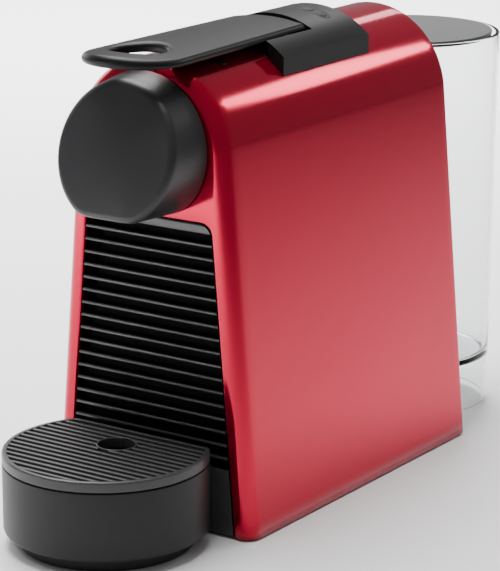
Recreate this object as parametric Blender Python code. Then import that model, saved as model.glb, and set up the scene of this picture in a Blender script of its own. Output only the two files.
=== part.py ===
"""Pod coffee machine: arched shell, round nose over a round drip tray, lifting lever, lift-off water tank.

Metres, +Z up, front at -Y. The origin is on the table under the middle of the whole machine.
"""
from math import acos, asin, ceil, cos, pi, radians, sin, sqrt, tan

import bmesh
import bpy
from mathutils import Matrix, Vector

MM = 0.001
GAP = 0.4 * MM                      # clearance between neighbouring pieces
PAST = 5.0 * MM                     # how far a cut runs past the face it opens
WELD_DISTANCE = 0.02 * MM

# Shell: an arch over sides that flare towards the table
SHELL_FRONT, SHELL_BACK = -87.9 * MM, 87.1 * MM
ARCH_RADIUS, ARCH_Z = 38.77 * MM, 160.58 * MM
SHELL_TOP = ARCH_Z + ARCH_RADIUS
FLARE = radians(4.91)
SHELL_BOTTOM = 1.0 * MM
SHELL_WALL, FRONT_WALL = 2.5 * MM, 3.5 * MM
FRONT_EDGE_RADIUS = 6.5 * MM
UNDER_TOP, OVER_TOP = SHELL_TOP - 19.0 * MM, SHELL_TOP + 20.0 * MM   # reach of cuts through the top
CLEAR_X = 60.0 * MM                                                  # wider than any piece

# Ribbed front panel
PANEL_MARGIN = 9.0 * MM             # shell left beside the panel
PANEL_TOP = ARCH_Z - 26.58 * MM
PANEL_CORNER = 5.5 * MM
PANEL_FACE = SHELL_FRONT + 0.2 * MM
RIB_TOP = PANEL_TOP - 8.6 * MM
RIB_PITCH, RIB_HEIGHT, RIB_COUNT = 5.62 * MM, 1.3 * MM, 17
RIB_DEPTH, PANEL_BACKING = 3.6 * MM, 2.4 * MM
PANEL_BACK = PANEL_FACE + RIB_DEPTH + PANEL_BACKING

# Nose and coffee outlet
NOSE_Z, NOSE_BACK_RADIUS, NOSE_FRONT_RADIUS = ARCH_Z + 2.72 * MM, 31.3 * MM, 29.6 * MM
NOSE_MID_Y, NOSE_SLANT, NOSE_BOTTOM = SHELL_FRONT - 22.6 * MM, radians(15), NOSE_Z - 26.5 * MM
NOSE_WALL = 2.5 * MM
NOSE_OPENING = 24.0 * MM
SPOUT_RADIUS, SPOUT_BORE = 5.5 * MM, 3.0 * MM
SPOUT_PIPE, PORT_X, PORT_RADIUS = 4.5 * MM, 2.6 * MM, 1.7 * MM

# Lever, hinge and gear drive
HINGE_Y, HINGE_Z, PIN_RADIUS = -10.0 * MM, SHELL_TOP - 2.35 * MM, 1.5 * MM
LEVER_CREST, LEVER_EDGE_TOP = SHELL_TOP + 5.65 * MM, SHELL_TOP + 3.45 * MM
LEVER_EDGE_BOTTOM = SHELL_TOP - 0.05 * MM
LEVER_FRONT, LEVER_REAR = SHELL_FRONT - 28.1 * MM, 1.5 * MM
LEVER_TIP_RADIUS, LEVER_REAR_HALF = 22.7 * MM, 19.0 * MM
LEVER_HALF_MAX, LEVER_UNDER_RISE, HUB_RADIUS = 24.0 * MM, 1.4 * MM, 4.2 * MM
FINGER_HOLE_Y, FINGER_HOLE_RADIUS, FINGER_LIP = SHELL_FRONT - 4.6 * MM, 11.5 * MM, 2.4 * MM
BORE_PLAY = 0.06 * MM
GEAR_MODULE, SECTOR_TEETH, IDLER_TEETH = 1.0 * MM, 37, 11
GEAR_WIDTH, GEAR_HUB, PRESSURE_ANGLE = 7.0 * MM, 3.6 * MM, radians(20)
SECTOR_CUT_TEETH, RACK_TEETH_BEFORE, RACK_TEETH = 12, 11, 13
SECTOR_RADIUS, IDLER_RADIUS = GEAR_MODULE * SECTOR_TEETH / 2, GEAR_MODULE * IDLER_TEETH / 2
IDLER_Z = HINGE_Z - SECTOR_RADIUS - IDLER_RADIUS
RACK_Z = IDLER_Z - IDLER_RADIUS     # the rack's pitch line
IDLER_PIN, IDLER_PIN_REACH = 1.5 * MM, 10.5 * MM

# Brew unit: the cage hangs from the rack
CAGE_RADIUS, CAGE_LENGTH, RACK_RISE = 18.8 * MM, 30.0 * MM, 2.2 * MM
CAGE_BORE = CAGE_RADIUS - 3.5 * MM
BREW_Z = RACK_Z - RACK_RISE - CAGE_RADIUS
PLATE_BACK, PLATE_THICKNESS = SHELL_FRONT + 27.3 * MM, 1.8 * MM
SPOUT_Y = NOSE_MID_Y + SPOUT_RADIUS + 4.5 * MM + (BREW_Z - NOSE_Z) * tan(NOSE_SLANT)   # inside the nose face
PORT_RADIUS_OUT, PORT_BORE, PORT_LENGTH = 4.0 * MM, 1.5 * MM, 9.0 * MM
FRAME_WALL, FRAME_PLAY, FRAME_HALF_HEIGHT, FRAME_BACK = 4.0 * MM, 1.2 * MM, 9.0 * MM, 24.0 * MM
FIN_HEIGHT, FIN_REACH = 3.0 * MM, 2.6 * MM
SIEVE_PITCH, SIEVE_RADIUS = 4.2 * MM, 0.9 * MM

# Opening for the capsule: wide for its flange, narrow for its body
FLANGE_HALF, FLANGE_DEPTH, CAPSULE_HALF = 18.6 * MM, 2.4 * MM, 14.6 * MM

# Hinge cover and buttons
COVER_RADIUS, COVER_CREST = ARCH_RADIUS + 5.23 * MM, SHELL_TOP + 6.15 * MM
COVER_FRONT, COVER_BACK, COVER_HALF = -31.0 * MM, 36.0 * MM, 29.4 * MM
COVER_SKIN, NOTCH_BACK = 2.0 * MM, 3.9 * MM
PIN_HOLD = 2.0 * MM                 # how far the pin reaches into each cheek
BUTTON_Y, BUTTON_X, BUTTON_SPACING = 23.0 * MM, 9.0 * MM, 6.8 * MM
BUTTON_LENGTH, BUTTON_WIDTH, BUTTON_DEPTH = 6.0 * MM, 5.0 * MM, 2.6 * MM
STEM_RADIUS, STEM_HOLE = 1.2 * MM, 2.0 * MM
BUTTON_TRAVEL, SPRING_RADIUS, SPRING_WIRE = 1.0 * MM, 1.55 * MM, 0.15 * MM
BOARD_TOP, BOARD_THICKNESS = SHELL_TOP - 9.35 * MM, 1.6 * MM

# Drip tray
TRAY_BACK = SHELL_FRONT - 5.1 * MM
TRAY_RADIUS, TRAY_Y = 43.15 * MM, TRAY_BACK - 24.9 * MM
TRAY_TOP, TRAY_PARTING, TRAY_BOTTOM = 40.8 * MM, 36.3 * MM, 6.2 * MM
TRAY_WALL, TRAY_BASE_RADIUS, TRAY_BASE = 2.2 * MM, 36.6 * MM, 0.4 * MM
HOOK_HALF, HOOK_LOW, HOOK_HIGH = 22.0 * MM, 12.0 * MM, 30.0 * MM
SLAT_PITCH, SLOT_WIDTH, GRID_RIM = 4.1 * MM, 2.3 * MM, 2.6 * MM
DRAIN_Y, DRAIN_RADIUS, DRAIN_RIM = SHELL_FRONT - 22.6 * MM, 7.8 * MM, 1.0 * MM

# Water tank
TANK_FRONT = SHELL_BACK + 1.5 * MM
TANK_Y, TANK_RADIUS, TANK_FOOT_RADIUS = TANK_FRONT + 30.4 * MM, 42.1 * MM, 40.0 * MM
TANK_TOP, TANK_BOTTOM, TANK_FLOOR = ARCH_Z + 21.32 * MM, 3.0 * MM, 27.0 * MM
TANK_WALL = 2.0 * MM
LID_THICKNESS, LID_DEPTH, LID_MARGIN, LID_RISE, LID_SKIRT = 1.4 * MM, 4.0 * MM, 3.4 * MM, 0.7 * MM, 1.5 * MM
DOCK_Y, DOCK_HALF, DOCK_TOP, DOCK_REACH = TANK_FRONT + 13.4 * MM, 16.0 * MM, 22.6 * MM, 10.0 * MM
DOCK_CUP, DOCK_CUP_DEPTH, SEAL_BORE = 6.5 * MM, 7.0 * MM, 4.6 * MM
VALVE_RADIUS, VALVE_STEM, VALVE_HEAD = 4.0 * MM, 2.4 * MM, 6.5 * MM
VALVE_CAGE, VALVE_CAGE_HEIGHT = 11.0 * MM, 12.0 * MM

# Chassis
BASE_BOTTOM, BASE_THICKNESS, BASE_FRONT = 1.4 * MM, 2.5 * MM, SHELL_FRONT + 8.0 * MM
FLOOR_TOP = BASE_BOTTOM + BASE_THICKNESS
FOOT_RADIUS, FOOT_X, FOOT_INSET, STUD_RADIUS = 7.0 * MM, 38.0 * MM, 12.0 * MM, 3.2 * MM
BUCKET_HALF, BUCKET_BOTTOM, BUCKET_WALL = 32.0 * MM, 4.4 * MM, 2.0 * MM
BUCKET_TOP = BREW_Z - CAGE_RADIUS - 5.7 * MM
BAY_BACK, BAY_WALL, RAIL_TOP, RAIL_WIDTH = -8.0 * MM, 2.0 * MM, 14.0 * MM, 2.6 * MM
REAR_PANEL_THICKNESS = 3.0 * MM
REAR_INSIDE = SHELL_BACK - REAR_PANEL_THICKNESS - GAP
VENT_HALF, VENT_BOTTOM, VENT_PITCH, VENT_HEIGHT, VENTS = 16.0 * MM, 128.0 * MM, 6.0 * MM, 2.5 * MM, 5
INLET_X, INLET_Z, INLET_RADIUS, INLET_BORE = -30.0 * MM, 30.0 * MM, 4.5 * MM, 2.8 * MM
SCREW_RADIUS = 2.4 * MM
SCREWS = ((-24 * MM, ARCH_Z + 11.42 * MM), (24 * MM, ARCH_Z + 11.42 * MM), (-38 * MM, 24 * MM),
          (38 * MM, 24 * MM))

# Water side inside the shell
DUCT_Z, DUCT_RADIUS, DUCT_BORE = 14.0 * MM, 4.0 * MM, 2.5 * MM
METER_X, METER_Y, METER_HALF, METER_RADIUS = -26.0 * MM, 52.0 * MM, 9.0 * MM, 11.0 * MM
METER_Z = DUCT_Z + 2.0 * MM
PUMP_X, PUMP_Z, PUMP_FRONT, PUMP_LENGTH, PUMP_RADIUS = 14.0 * MM, 46.0 * MM, 14.0 * MM, 54.0 * MM, 15.0 * MM
MOUNT_RADIUS, MOUNT_LENGTH, MOUNT_FOOT = 19.0 * MM, 6.0 * MM, 12.0 * MM
BLOCK_HALF, BLOCK_FRONT, BLOCK_BACK = 24.0 * MM, 34.0 * MM, 66.0 * MM
BLOCK_BOTTOM, BLOCK_TOP, BLOCK_INLET_Y = BREW_Z - 50.5 * MM, BREW_Z + 9.5 * MM, 50.0 * MM
WIDE_HOSE, THIN_HOSE = (3.0 * MM, 2.0 * MM), (2.5 * MM, 1.5 * MM)       # radius and bore

COLOURS = {
    "red_gloss": ((0.42, 0.004, 0.009), 0.12, 0.0),
    "black_satin": ((0.022, 0.022, 0.024), 0.42, 0.0),
    "black_matte": ((0.012, 0.012, 0.013), 0.6, 0.0),
    "tank_clear": ((0.78, 0.8, 0.82), 0.05, 0.0),
    "lid_grey": ((0.2, 0.2, 0.21), 0.35, 0.0),
    "rubber": ((0.02, 0.02, 0.02), 0.8, 0.0),
    "steel": ((0.6, 0.6, 0.6), 0.25, 1.0),
    "aluminium": ((0.7, 0.7, 0.72), 0.35, 1.0),
    "inner_plastic": ((0.35, 0.35, 0.36), 0.5, 0.0),
    "board_green": ((0.02, 0.16, 0.06), 0.5, 0.0),
    "hose_white": ((0.8, 0.8, 0.78), 0.45, 0.0),
}


# Helpers

def material(name):
    found = bpy.data.materials.get(name)
    if found:
        return found
    colour, roughness, metallic = COLOURS[name]
    made = bpy.data.materials.new(name)
    made.use_nodes = True
    shader = made.node_tree.nodes["Principled BSDF"]
    shader.inputs["Base Color"].default_value = (*colour, 1.0)
    shader.inputs["Roughness"].default_value = roughness
    shader.inputs["Metallic"].default_value = metallic
    return made


def object_from(name, bm, finish):
    bmesh.ops.recalc_face_normals(bm, faces=bm.faces)
    mesh = bpy.data.meshes.new(name)
    bm.to_mesh(mesh)
    bm.free()
    piece = bpy.data.objects.new(name, mesh)
    bpy.context.scene.collection.objects.link(piece)
    if finish:
        mesh.materials.append(material(finish))
    else:
        piece.hide_render = True
        piece.display_type = "WIRE"
    return piece


def box(name, low, high, finish=None):
    bm = bmesh.new()
    bmesh.ops.create_cube(bm, size=1.0)
    for vert in bm.verts:
        vert.co = [low[i] + (vert.co[i] + 0.5) * (high[i] - low[i]) for i in range(3)]
    return object_from(name, bm, finish)


def prism(name, outline, axis, start, end, finish=None, end_bevel=0.0):
    """A flat outline carried along an axis; end_bevel rounds the edges of its start face."""
    place = {
        "X": lambda a, b, s: (s, a, b),
        "Y": lambda a, b, s: (a, s, b),
        "Z": lambda a, b, s: (a, b, s),
    }[axis]
    bm = bmesh.new()
    face = bm.faces.new([bm.verts.new(place(a, b, start)) for a, b in outline])
    made = bmesh.ops.extrude_face_region(bm, geom=[face])
    for item in made["geom"]:
        if isinstance(item, bmesh.types.BMVert):
            item.co["XYZ".index(axis)] = end
    if end_bevel:
        index = "XYZ".index(axis)
        rim = [e for e in bm.edges if all(abs(v.co[index] - start) < 1e-7 for v in e.verts)]
        rim = [e for e in rim if not all(abs(v.co.z - SHELL_BOTTOM) < 1e-7 for v in e.verts)]
        bmesh.ops.bevel(bm, geom=rim, offset=end_bevel, segments=3, profile=0.5, affect="EDGES")
    return object_from(name, bm, finish)


def turned(name, profile, centre, axis, finish=None, steps=48):
    """A profile of (radius, height) points turned about an axis: a closed ring, or capped from radius 0."""
    bm = bmesh.new()
    rows = [[bm.verts.new((radius * cos(2 * pi * i / steps), radius * sin(2 * pi * i / steps), height))
             for i in range(steps)] for radius, height in profile if radius > 0]
    pairs = list(zip(rows, rows[1:]))
    if len(rows) == len(profile):
        pairs.append((rows[-1], rows[0]))
    else:
        bm.faces.new(rows[0])
        bm.faces.new(rows[-1])
    for lower, upper in pairs:
        for i in range(steps):
            j = (i + 1) % steps
            bm.faces.new([lower[i], lower[j], upper[j], upper[i]])
    turn = {"X": Matrix.Rotation(pi / 2, 4, "Y"), "Y": Matrix.Rotation(-pi / 2, 4, "X"), "Z": Matrix()}[axis]
    bmesh.ops.transform(bm, matrix=Matrix.Translation(Vector(centre)) @ turn, verts=bm.verts)
    return object_from(name, bm, finish)


def rod(name, axis, centre, radius, start, end, finish=None, steps=32):
    """A cylinder along an axis; centre gives its other two coordinates."""
    place = {"X": (0, centre[0], centre[1]), "Y": (centre[0], 0, centre[1]),
             "Z": (centre[0], centre[1], 0)}[axis]
    return turned(name, [(0, start), (radius, start), (radius, end), (0, end)], place, axis, finish, steps)


def tube(name, points, radius, bore, finish, sides=8):
    """An open-ended hose of the given outer radius and bore along a smooth path."""
    path = smooth_path(points)
    heading = [(b - a).normalized() for a, b in zip(path, path[2:])]
    heading = [(Vector(points[1]) - Vector(points[0])).normalized()] + heading
    heading.append((Vector(points[-1]) - Vector(points[-2])).normalized())
    bm = bmesh.new()
    side = Vector((0.3, 0.5, 0.8)).normalized()
    rings = {radius: [], bore: []}
    for here, ahead in zip(path, heading):
        side = (side - ahead * side.dot(ahead)).normalized()
        up = ahead.cross(side)
        for size in (radius, bore):
            spokes = [side * cos(2 * pi * k / sides) + up * sin(2 * pi * k / sides) for k in range(sides)]
            rings[size].append([bm.verts.new(here + size * spoke) for spoke in spokes])
    loop = rings[radius] + rings[bore][::-1]
    for first, second in zip(loop, loop[1:] + loop[:1]):
        for k in range(sides):
            bm.faces.new([first[k], first[(k + 1) % sides], second[(k + 1) % sides], second[k]])
    return object_from(name, bm, finish)


def smooth_path(points, steps=3):
    """Points read from a smooth curve through the given ones."""
    padded = [2 * Vector(points[0]) - Vector(points[1])] + [Vector(p) for p in points]
    padded.append(2 * Vector(points[-1]) - Vector(points[-2]))
    path = []
    for a, b, c, d in zip(padded, padded[1:], padded[2:], padded[3:]):
        for i in range(steps):
            t = i / steps
            path.append(0.5 * (2 * b + (c - a) * t + (2 * a - 5 * b + 4 * c - d) * t * t
                               + (3 * b - a - 3 * c + d) * t ** 3))
    return path + [Vector(points[-1])]


def boolean(target, cutter, operation):
    if not cutter.hide_render:
        cutter.hide_render = True
        cutter.display_type = "WIRE"
    step = target.modifiers.new(cutter.name, "BOOLEAN")
    step.operation = operation
    step.object = cutter
    step.solver = "EXACT"


def cut(target, *cutters):
    for cutter in cutters:
        boolean(target, cutter, "DIFFERENCE")
    return target


def join(target, *pieces):
    for piece in pieces:
        boolean(target, piece, "UNION")
    return target


def keep_inside(target, limit):
    boolean(target, limit, "INTERSECT")
    return target


def smooth(*pieces):
    for piece in pieces:
        piece.data.shade_smooth()
        piece.data.set_sharp_from_angle(angle=radians(35))


def arc(centre, radius, start, end, steps):
    """Points on an arc about centre, angles in radians."""
    return [(centre[0] + radius * cos(start + (end - start) * i / steps),
             centre[1] + radius * sin(start + (end - start) * i / steps)) for i in range(steps + 1)]


def side_x(height, radius):
    """Half the width of the flared arch of the given radius, at a height."""
    return (radius - (height - ARCH_Z) * sin(FLARE)) / cos(FLARE)


def arch(radius, bottom, steps=32):
    """Outline in X and Z of the arch and its flared sides."""
    reach = side_x(bottom, radius)
    return [(reach, bottom)] + arc((0, ARCH_Z), radius, FLARE, pi - FLARE, steps) + [(-reach, bottom)]


def panel_outline(inset, bottom, top_inset=0.0):
    """Outline of the opening in the shell's front: parallel to its sides, round top corners."""
    top = PANEL_TOP - max(inset, top_inset)
    corner = PANEL_CORNER
    low = side_x(bottom, ARCH_RADIUS) - PANEL_MARGIN - inset
    high = side_x(top - corner, ARCH_RADIUS) - PANEL_MARGIN - inset
    right = arc((high - corner, top - corner), corner, 0, pi / 2, 5)
    return [(low, bottom)] + right + [(-x, z) for x, z in reversed(right)] + [(-low, bottom)]


def cap_profile(radius, crest, half):
    """Arc in X and Z with its crest on the middle line, from +half to -half."""
    centre = crest - radius
    start = acos(half / radius)
    return arc((0, centre), radius, start, pi - start, 16)


# Shell and covers

def lever_half(y):
    """Half the lever's width where its sides run straight."""
    run = (LEVER_REAR - y) / (LEVER_REAR - LEVER_FRONT - LEVER_TIP_RADIUS)
    return LEVER_REAR_HALF + run * (LEVER_TIP_RADIUS - LEVER_REAR_HALF)


def notch_half():
    """Half the width of the cover's notch, which clears the lever where it is widest between the cheeks."""
    return lever_half(COVER_FRONT) + GAP


def lever_well():
    """Opening in the shell's top, under the hinge cover, for the lever's hub, gear and heel."""
    reach = notch_half()
    gear = GEAR_WIDTH / 2 + 1.5 * MM
    return [box("cut_hub_well", (-reach, HINGE_Y - 7.5 * MM, UNDER_TOP), (reach, NOTCH_BACK + GAP, OVER_TOP)),
            box("cut_gear_well", (-gear, COVER_FRONT + GAP, UNDER_TOP),
                (gear, HINGE_Y + SECTOR_RADIUS + 3 * MM, OVER_TOP))]


def capsule_slot():
    """T-shaped opening behind the piercing plate."""
    front, back = PLATE_BACK + GAP, COVER_FRONT - 1.5 * MM
    return [box("cut_flange_slot", (-FLANGE_HALF, front, UNDER_TOP),
                (FLANGE_HALF, front + FLANGE_DEPTH, OVER_TOP)),
            box("cut_body_slot", (-CAPSULE_HALF, front + GAP, UNDER_TOP), (CAPSULE_HALF, back, OVER_TOP))]


def body_shell():
    shell = prism("body_shell", arch(ARCH_RADIUS, SHELL_BOTTOM), "Y", SHELL_FRONT, SHELL_BACK, "red_gloss",
                  FRONT_EDGE_RADIUS)
    hollow = prism("cut_shell_hollow", arch(ARCH_RADIUS - SHELL_WALL, -PAST), "Y",
                   SHELL_FRONT + FRONT_WALL, SHELL_BACK + PAST)
    inside = SHELL_FRONT + FRONT_WALL + 2 * MM
    panel = prism("cut_panel_opening", panel_outline(0, -PAST), "Y", SHELL_FRONT - PAST, inside)
    nose = rod("cut_nose_opening", "Y", (0, NOSE_Z), NOSE_OPENING, SHELL_FRONT - PAST, inside)
    stems = [rod("cut_stem_hole_%d" % (i + 1), "Z", (x, BUTTON_Y), STEM_HOLE, UNDER_TOP, OVER_TOP, steps=12)
             for i, x in enumerate(button_places())]
    cut(shell, hollow, panel, nose, *capsule_slot(), *lever_well(), *stems)
    smooth(shell)


def hinge_cover():
    """Saddle over the shell: a thin arched skin on two solid cheeks that hold the lever's pin."""
    seat_radius = ARCH_RADIUS + GAP
    seat_angle = acos(COVER_HALF / seat_radius)
    top = cap_profile(COVER_RADIUS, COVER_CREST, COVER_HALF)
    seat = arc((0, ARCH_Z), seat_radius, pi - seat_angle, seat_angle, 16)
    cover = prism("hinge_cover", top + seat, "Y", COVER_FRONT, COVER_BACK, "black_satin")
    reach = notch_half()
    notch = box("cut_notch", (-reach, COVER_FRONT - PAST, UNDER_TOP), (reach, NOTCH_BACK, OVER_TOP))
    inner = COVER_HALF - COVER_SKIN
    roof = cap_profile(COVER_RADIUS - COVER_SKIN, COVER_CREST - COVER_SKIN, inner)
    pocket = prism("cut_cover_pocket", roof + [(-inner, UNDER_TOP), (inner, UNDER_TOP)], "Y",
                   NOTCH_BACK - GAP,
                   COVER_BACK - COVER_SKIN)
    bore = rod("cut_pin_bore", "X", (HINGE_Y, HINGE_Z), PIN_RADIUS + BORE_PLAY, -reach - PIN_HOLD - GAP,
               reach + PIN_HOLD + GAP, steps=24)
    window = prism("cut_button_window", pill(BUTTON_X, BUTTON_Y, BUTTON_SPACING + BUTTON_LENGTH + 2 * GAP,
                                             BUTTON_WIDTH + 2 * GAP), "Z", UNDER_TOP, OVER_TOP)
    cut(cover, notch, pocket, bore, window)
    smooth(cover)


def pill(x, y, length, width):
    """Outline in X and Y of a slot with round ends, long along X."""
    reach = (length - width) / 2
    return arc((x + reach, y), width / 2, -pi / 2, pi / 2, 6) + arc((x - reach, y), width / 2, pi / 2,
                                                                    3 * pi / 2, 6)


def nose_cover():
    """Round head in front of the shell, leaning back towards the top, open underneath for the outlet."""
    back, front = SHELL_FRONT - GAP, NOSE_MID_Y - 12 * MM
    taper = (NOSE_BACK_RADIUS - NOSE_FRONT_RADIUS) / (back - NOSE_MID_Y)
    front_radius = NOSE_BACK_RADIUS - taper * (back - front)
    nose = turned("nose_cover", [(0, front), (front_radius, front), (NOSE_BACK_RADIUS, back), (0, back)],
                  (0, 0, NOSE_Z), "Y", "black_satin", 64)
    lean = Vector((0, cos(NOSE_SLANT), -sin(NOSE_SLANT)))

    def half_space(name, depth):
        block = box(name, (-CLEAR_X, -CLEAR_X, -CLEAR_X), (CLEAR_X, 0, CLEAR_X))
        turn = Vector((0, 1, 0)).rotation_difference(lean).to_matrix().to_4x4()
        block.data.transform(Matrix.Translation(Vector((0, NOSE_MID_Y, NOSE_Z)) + lean * depth) @ turn)
        return block

    face = half_space("cut_nose_face", 0)
    under = [(-CLEAR_X, front - CLEAR_X, 0), (CLEAR_X, back + CLEAR_X, NOSE_BOTTOM)]
    flat = box("cut_nose_flat", *under)
    hollow = turned("cut_nose_hollow", [(0, front), (front_radius - NOSE_WALL, front),
                                        (NOSE_BACK_RADIUS - NOSE_WALL, back + PAST), (0, back + PAST)],
                    (0, 0, NOSE_Z), "Y", None, 64)
    cut(hollow, half_space("cut_hollow_face", NOSE_WALL),
        box("cut_hollow_flat", under[0], (*under[1][:2], NOSE_BOTTOM + NOSE_WALL)))
    outlet = rod("cut_outlet", "Z", (0, SPOUT_Y), SPOUT_RADIUS + 2 * GAP, NOSE_BOTTOM - PAST,
                 NOSE_BOTTOM + 2 * PAST)
    cut(nose, face, flat, hollow, outlet)
    smooth(nose)


def rear_panel():
    panel = prism("rear_panel", arch(ARCH_RADIUS - SHELL_WALL - GAP, BASE_BOTTOM), "Y",
                  SHELL_BACK - REAR_PANEL_THICKNESS, SHELL_BACK, "black_matte")
    low, high = SHELL_BACK - REAR_PANEL_THICKNESS - PAST, SHELL_BACK + PAST
    ducts = [rod("cut_tank_duct", "Y", (0, DUCT_Z), DUCT_RADIUS, low, high, steps=20),
             rod("cut_inlet_hole", "Y", (INLET_X, INLET_Z), INLET_RADIUS + GAP, low, high, steps=20)]
    vents = [box("cut_vent_%d" % (i + 1), (-VENT_HALF, low, VENT_BOTTOM + i * VENT_PITCH),
                 (VENT_HALF, high, VENT_BOTTOM + i * VENT_PITCH + VENT_HEIGHT)) for i in range(VENTS)]
    cut(panel, *ducts, *vents)


def base_plate():
    reach = side_x(FLOOR_TOP, ARCH_RADIUS - SHELL_WALL) - GAP
    plate = box("base_plate", (-reach, BASE_FRONT, BASE_BOTTOM), (reach, REAR_INSIDE, FLOOR_TOP),
                "black_matte")
    studs = [rod("cut_stud_%d" % (i + 1), "Z", place, STUD_RADIUS + GAP, -PAST, FLOOR_TOP + PAST, steps=20)
             for i, place in enumerate(foot_places())]
    cut(plate, *studs)


def foot_places():
    return [(x, y) for y in (BASE_FRONT + FOOT_INSET, REAR_INSIDE - FOOT_INSET) for x in (-FOOT_X, FOOT_X)]


def feet():
    for i, (x, y) in enumerate(foot_places()):
        top = BASE_BOTTOM - GAP
        foot = turned("foot_%d" % (i + 1), [(0, 0), (FOOT_RADIUS, 0), (FOOT_RADIUS, top), (STUD_RADIUS, top),
                                            (STUD_RADIUS, FLOOR_TOP), (0, FLOOR_TOP)], (x, y, 0), "Z",
                      "rubber", 24)
        smooth(foot)


# Capsule container and drip tray

def container_front():
    """Front panel of the slide-out container: ribs like a comb on a backing plate, smooth at the foot."""
    front, root, back = PANEL_FACE, PANEL_FACE + RIB_DEPTH, PANEL_BACK
    comb = [(back, BASE_BOTTOM), (back, PANEL_TOP), (front, PANEL_TOP),
            (front, RIB_TOP + RIB_PITCH - RIB_HEIGHT)]
    for i in range(RIB_COUNT):
        top = RIB_TOP - i * RIB_PITCH
        above = top + RIB_PITCH - RIB_HEIGHT
        comb += [(root, above), (root, top), (front, top), (front, top - RIB_HEIGHT)]
    last = RIB_TOP - (RIB_COUNT - 1) * RIB_PITCH - RIB_HEIGHT
    comb += [(root, last), (root, last - RIB_PITCH + RIB_HEIGHT), (front, last - RIB_PITCH + RIB_HEIGHT),
             (front, BASE_BOTTOM)]
    comb = [point for i, point in enumerate(comb) if point != comb[i - 1]]
    panel = prism("container_front", comb, "X", -CLEAR_X, CLEAR_X, "black_satin")
    limit = prism("keep_panel", panel_outline(GAP, BASE_BOTTOM - GAP), "Y", front - PAST, back + PAST)
    keep_inside(panel, limit)


def capsule_container():
    low, high = (-BUCKET_HALF, PANEL_BACK + GAP, BUCKET_BOTTOM), (BUCKET_HALF, BAY_BACK - GAP, BUCKET_TOP)
    bucket = box("capsule_container", low, high, "black_satin")
    wall = BUCKET_WALL
    hollow = box("cut_bucket", [edge + wall for edge in low],
                 (high[0] - wall, high[1] - wall, high[2] + PAST))
    cut(bucket, hollow)


def tray_outline(radius, back):
    """Circle in X and Y about the tray's middle, cut straight across at the back."""
    start = asin((back - TRAY_Y) / radius)
    return arc((0, TRAY_Y), radius, pi - start, 2 * pi + start, 48)


def drip_tray_cup():
    cup = prism("drip_tray_cup", tray_outline(TRAY_RADIUS, TRAY_BACK), "Z", TRAY_BOTTOM, TRAY_PARTING - GAP,
                "black_satin")
    base = prism("join_tray_base", tray_outline(TRAY_BASE_RADIUS, TRAY_BACK - MM), "Z", TRAY_BASE,
                 TRAY_BOTTOM + MM)
    hook = box("join_tray_hook", (-HOOK_HALF, TRAY_BACK - MM, HOOK_LOW),
               (HOOK_HALF, SHELL_FRONT - GAP, HOOK_HIGH))
    hollow = prism("cut_tray_hollow", tray_outline(TRAY_RADIUS - TRAY_WALL, TRAY_BACK - TRAY_WALL), "Z",
                   TRAY_BOTTOM + TRAY_WALL, TRAY_TOP)
    join(cup, base, hook)
    cut(cup, hollow)
    smooth(cup)


def drip_grid():
    """Slats across the tray inside a rim, with a round drain under the outlet."""
    grid = prism("drip_grid", tray_outline(TRAY_RADIUS, TRAY_BACK), "Z", TRAY_PARTING, TRAY_TOP,
                 "black_satin")
    inside, back = TRAY_RADIUS - GRID_RIM, TRAY_BACK - GRID_RIM
    boss = DRAIN_RADIUS + DRAIN_RIM
    rows = ceil((back - (TRAY_Y - inside)) / SLAT_PITCH)
    for i in range(rows):
        y = back - SLOT_WIDTH / 2 - i * SLAT_PITCH
        far = max(abs(y - SLOT_WIDTH / 2 - TRAY_Y), abs(y + SLOT_WIDTH / 2 - TRAY_Y))
        if far >= inside - 3 * MM:
            continue
        reach = sqrt(inside ** 2 - far ** 2)
        off = min(abs(y - SLOT_WIDTH / 2 - DRAIN_Y), abs(y + SLOT_WIDTH / 2 - DRAIN_Y))
        inner = sqrt(boss ** 2 - off ** 2) if off < boss else 0
        spans = [(-reach, -inner), (inner, reach)] if inner else [(-reach, reach)]
        for k, (start, end) in enumerate(spans):
            cut(grid, box("cut_slot_%d_%d" % (i, k), (start, y - SLOT_WIDTH / 2, TRAY_PARTING - PAST),
                          (end, y + SLOT_WIDTH / 2, TRAY_TOP + PAST)))
    cut(grid, rod("cut_drain", "Z", (0, DRAIN_Y), DRAIN_RADIUS, TRAY_PARTING - PAST, TRAY_TOP + PAST))


# Lever and its gear drive

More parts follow.
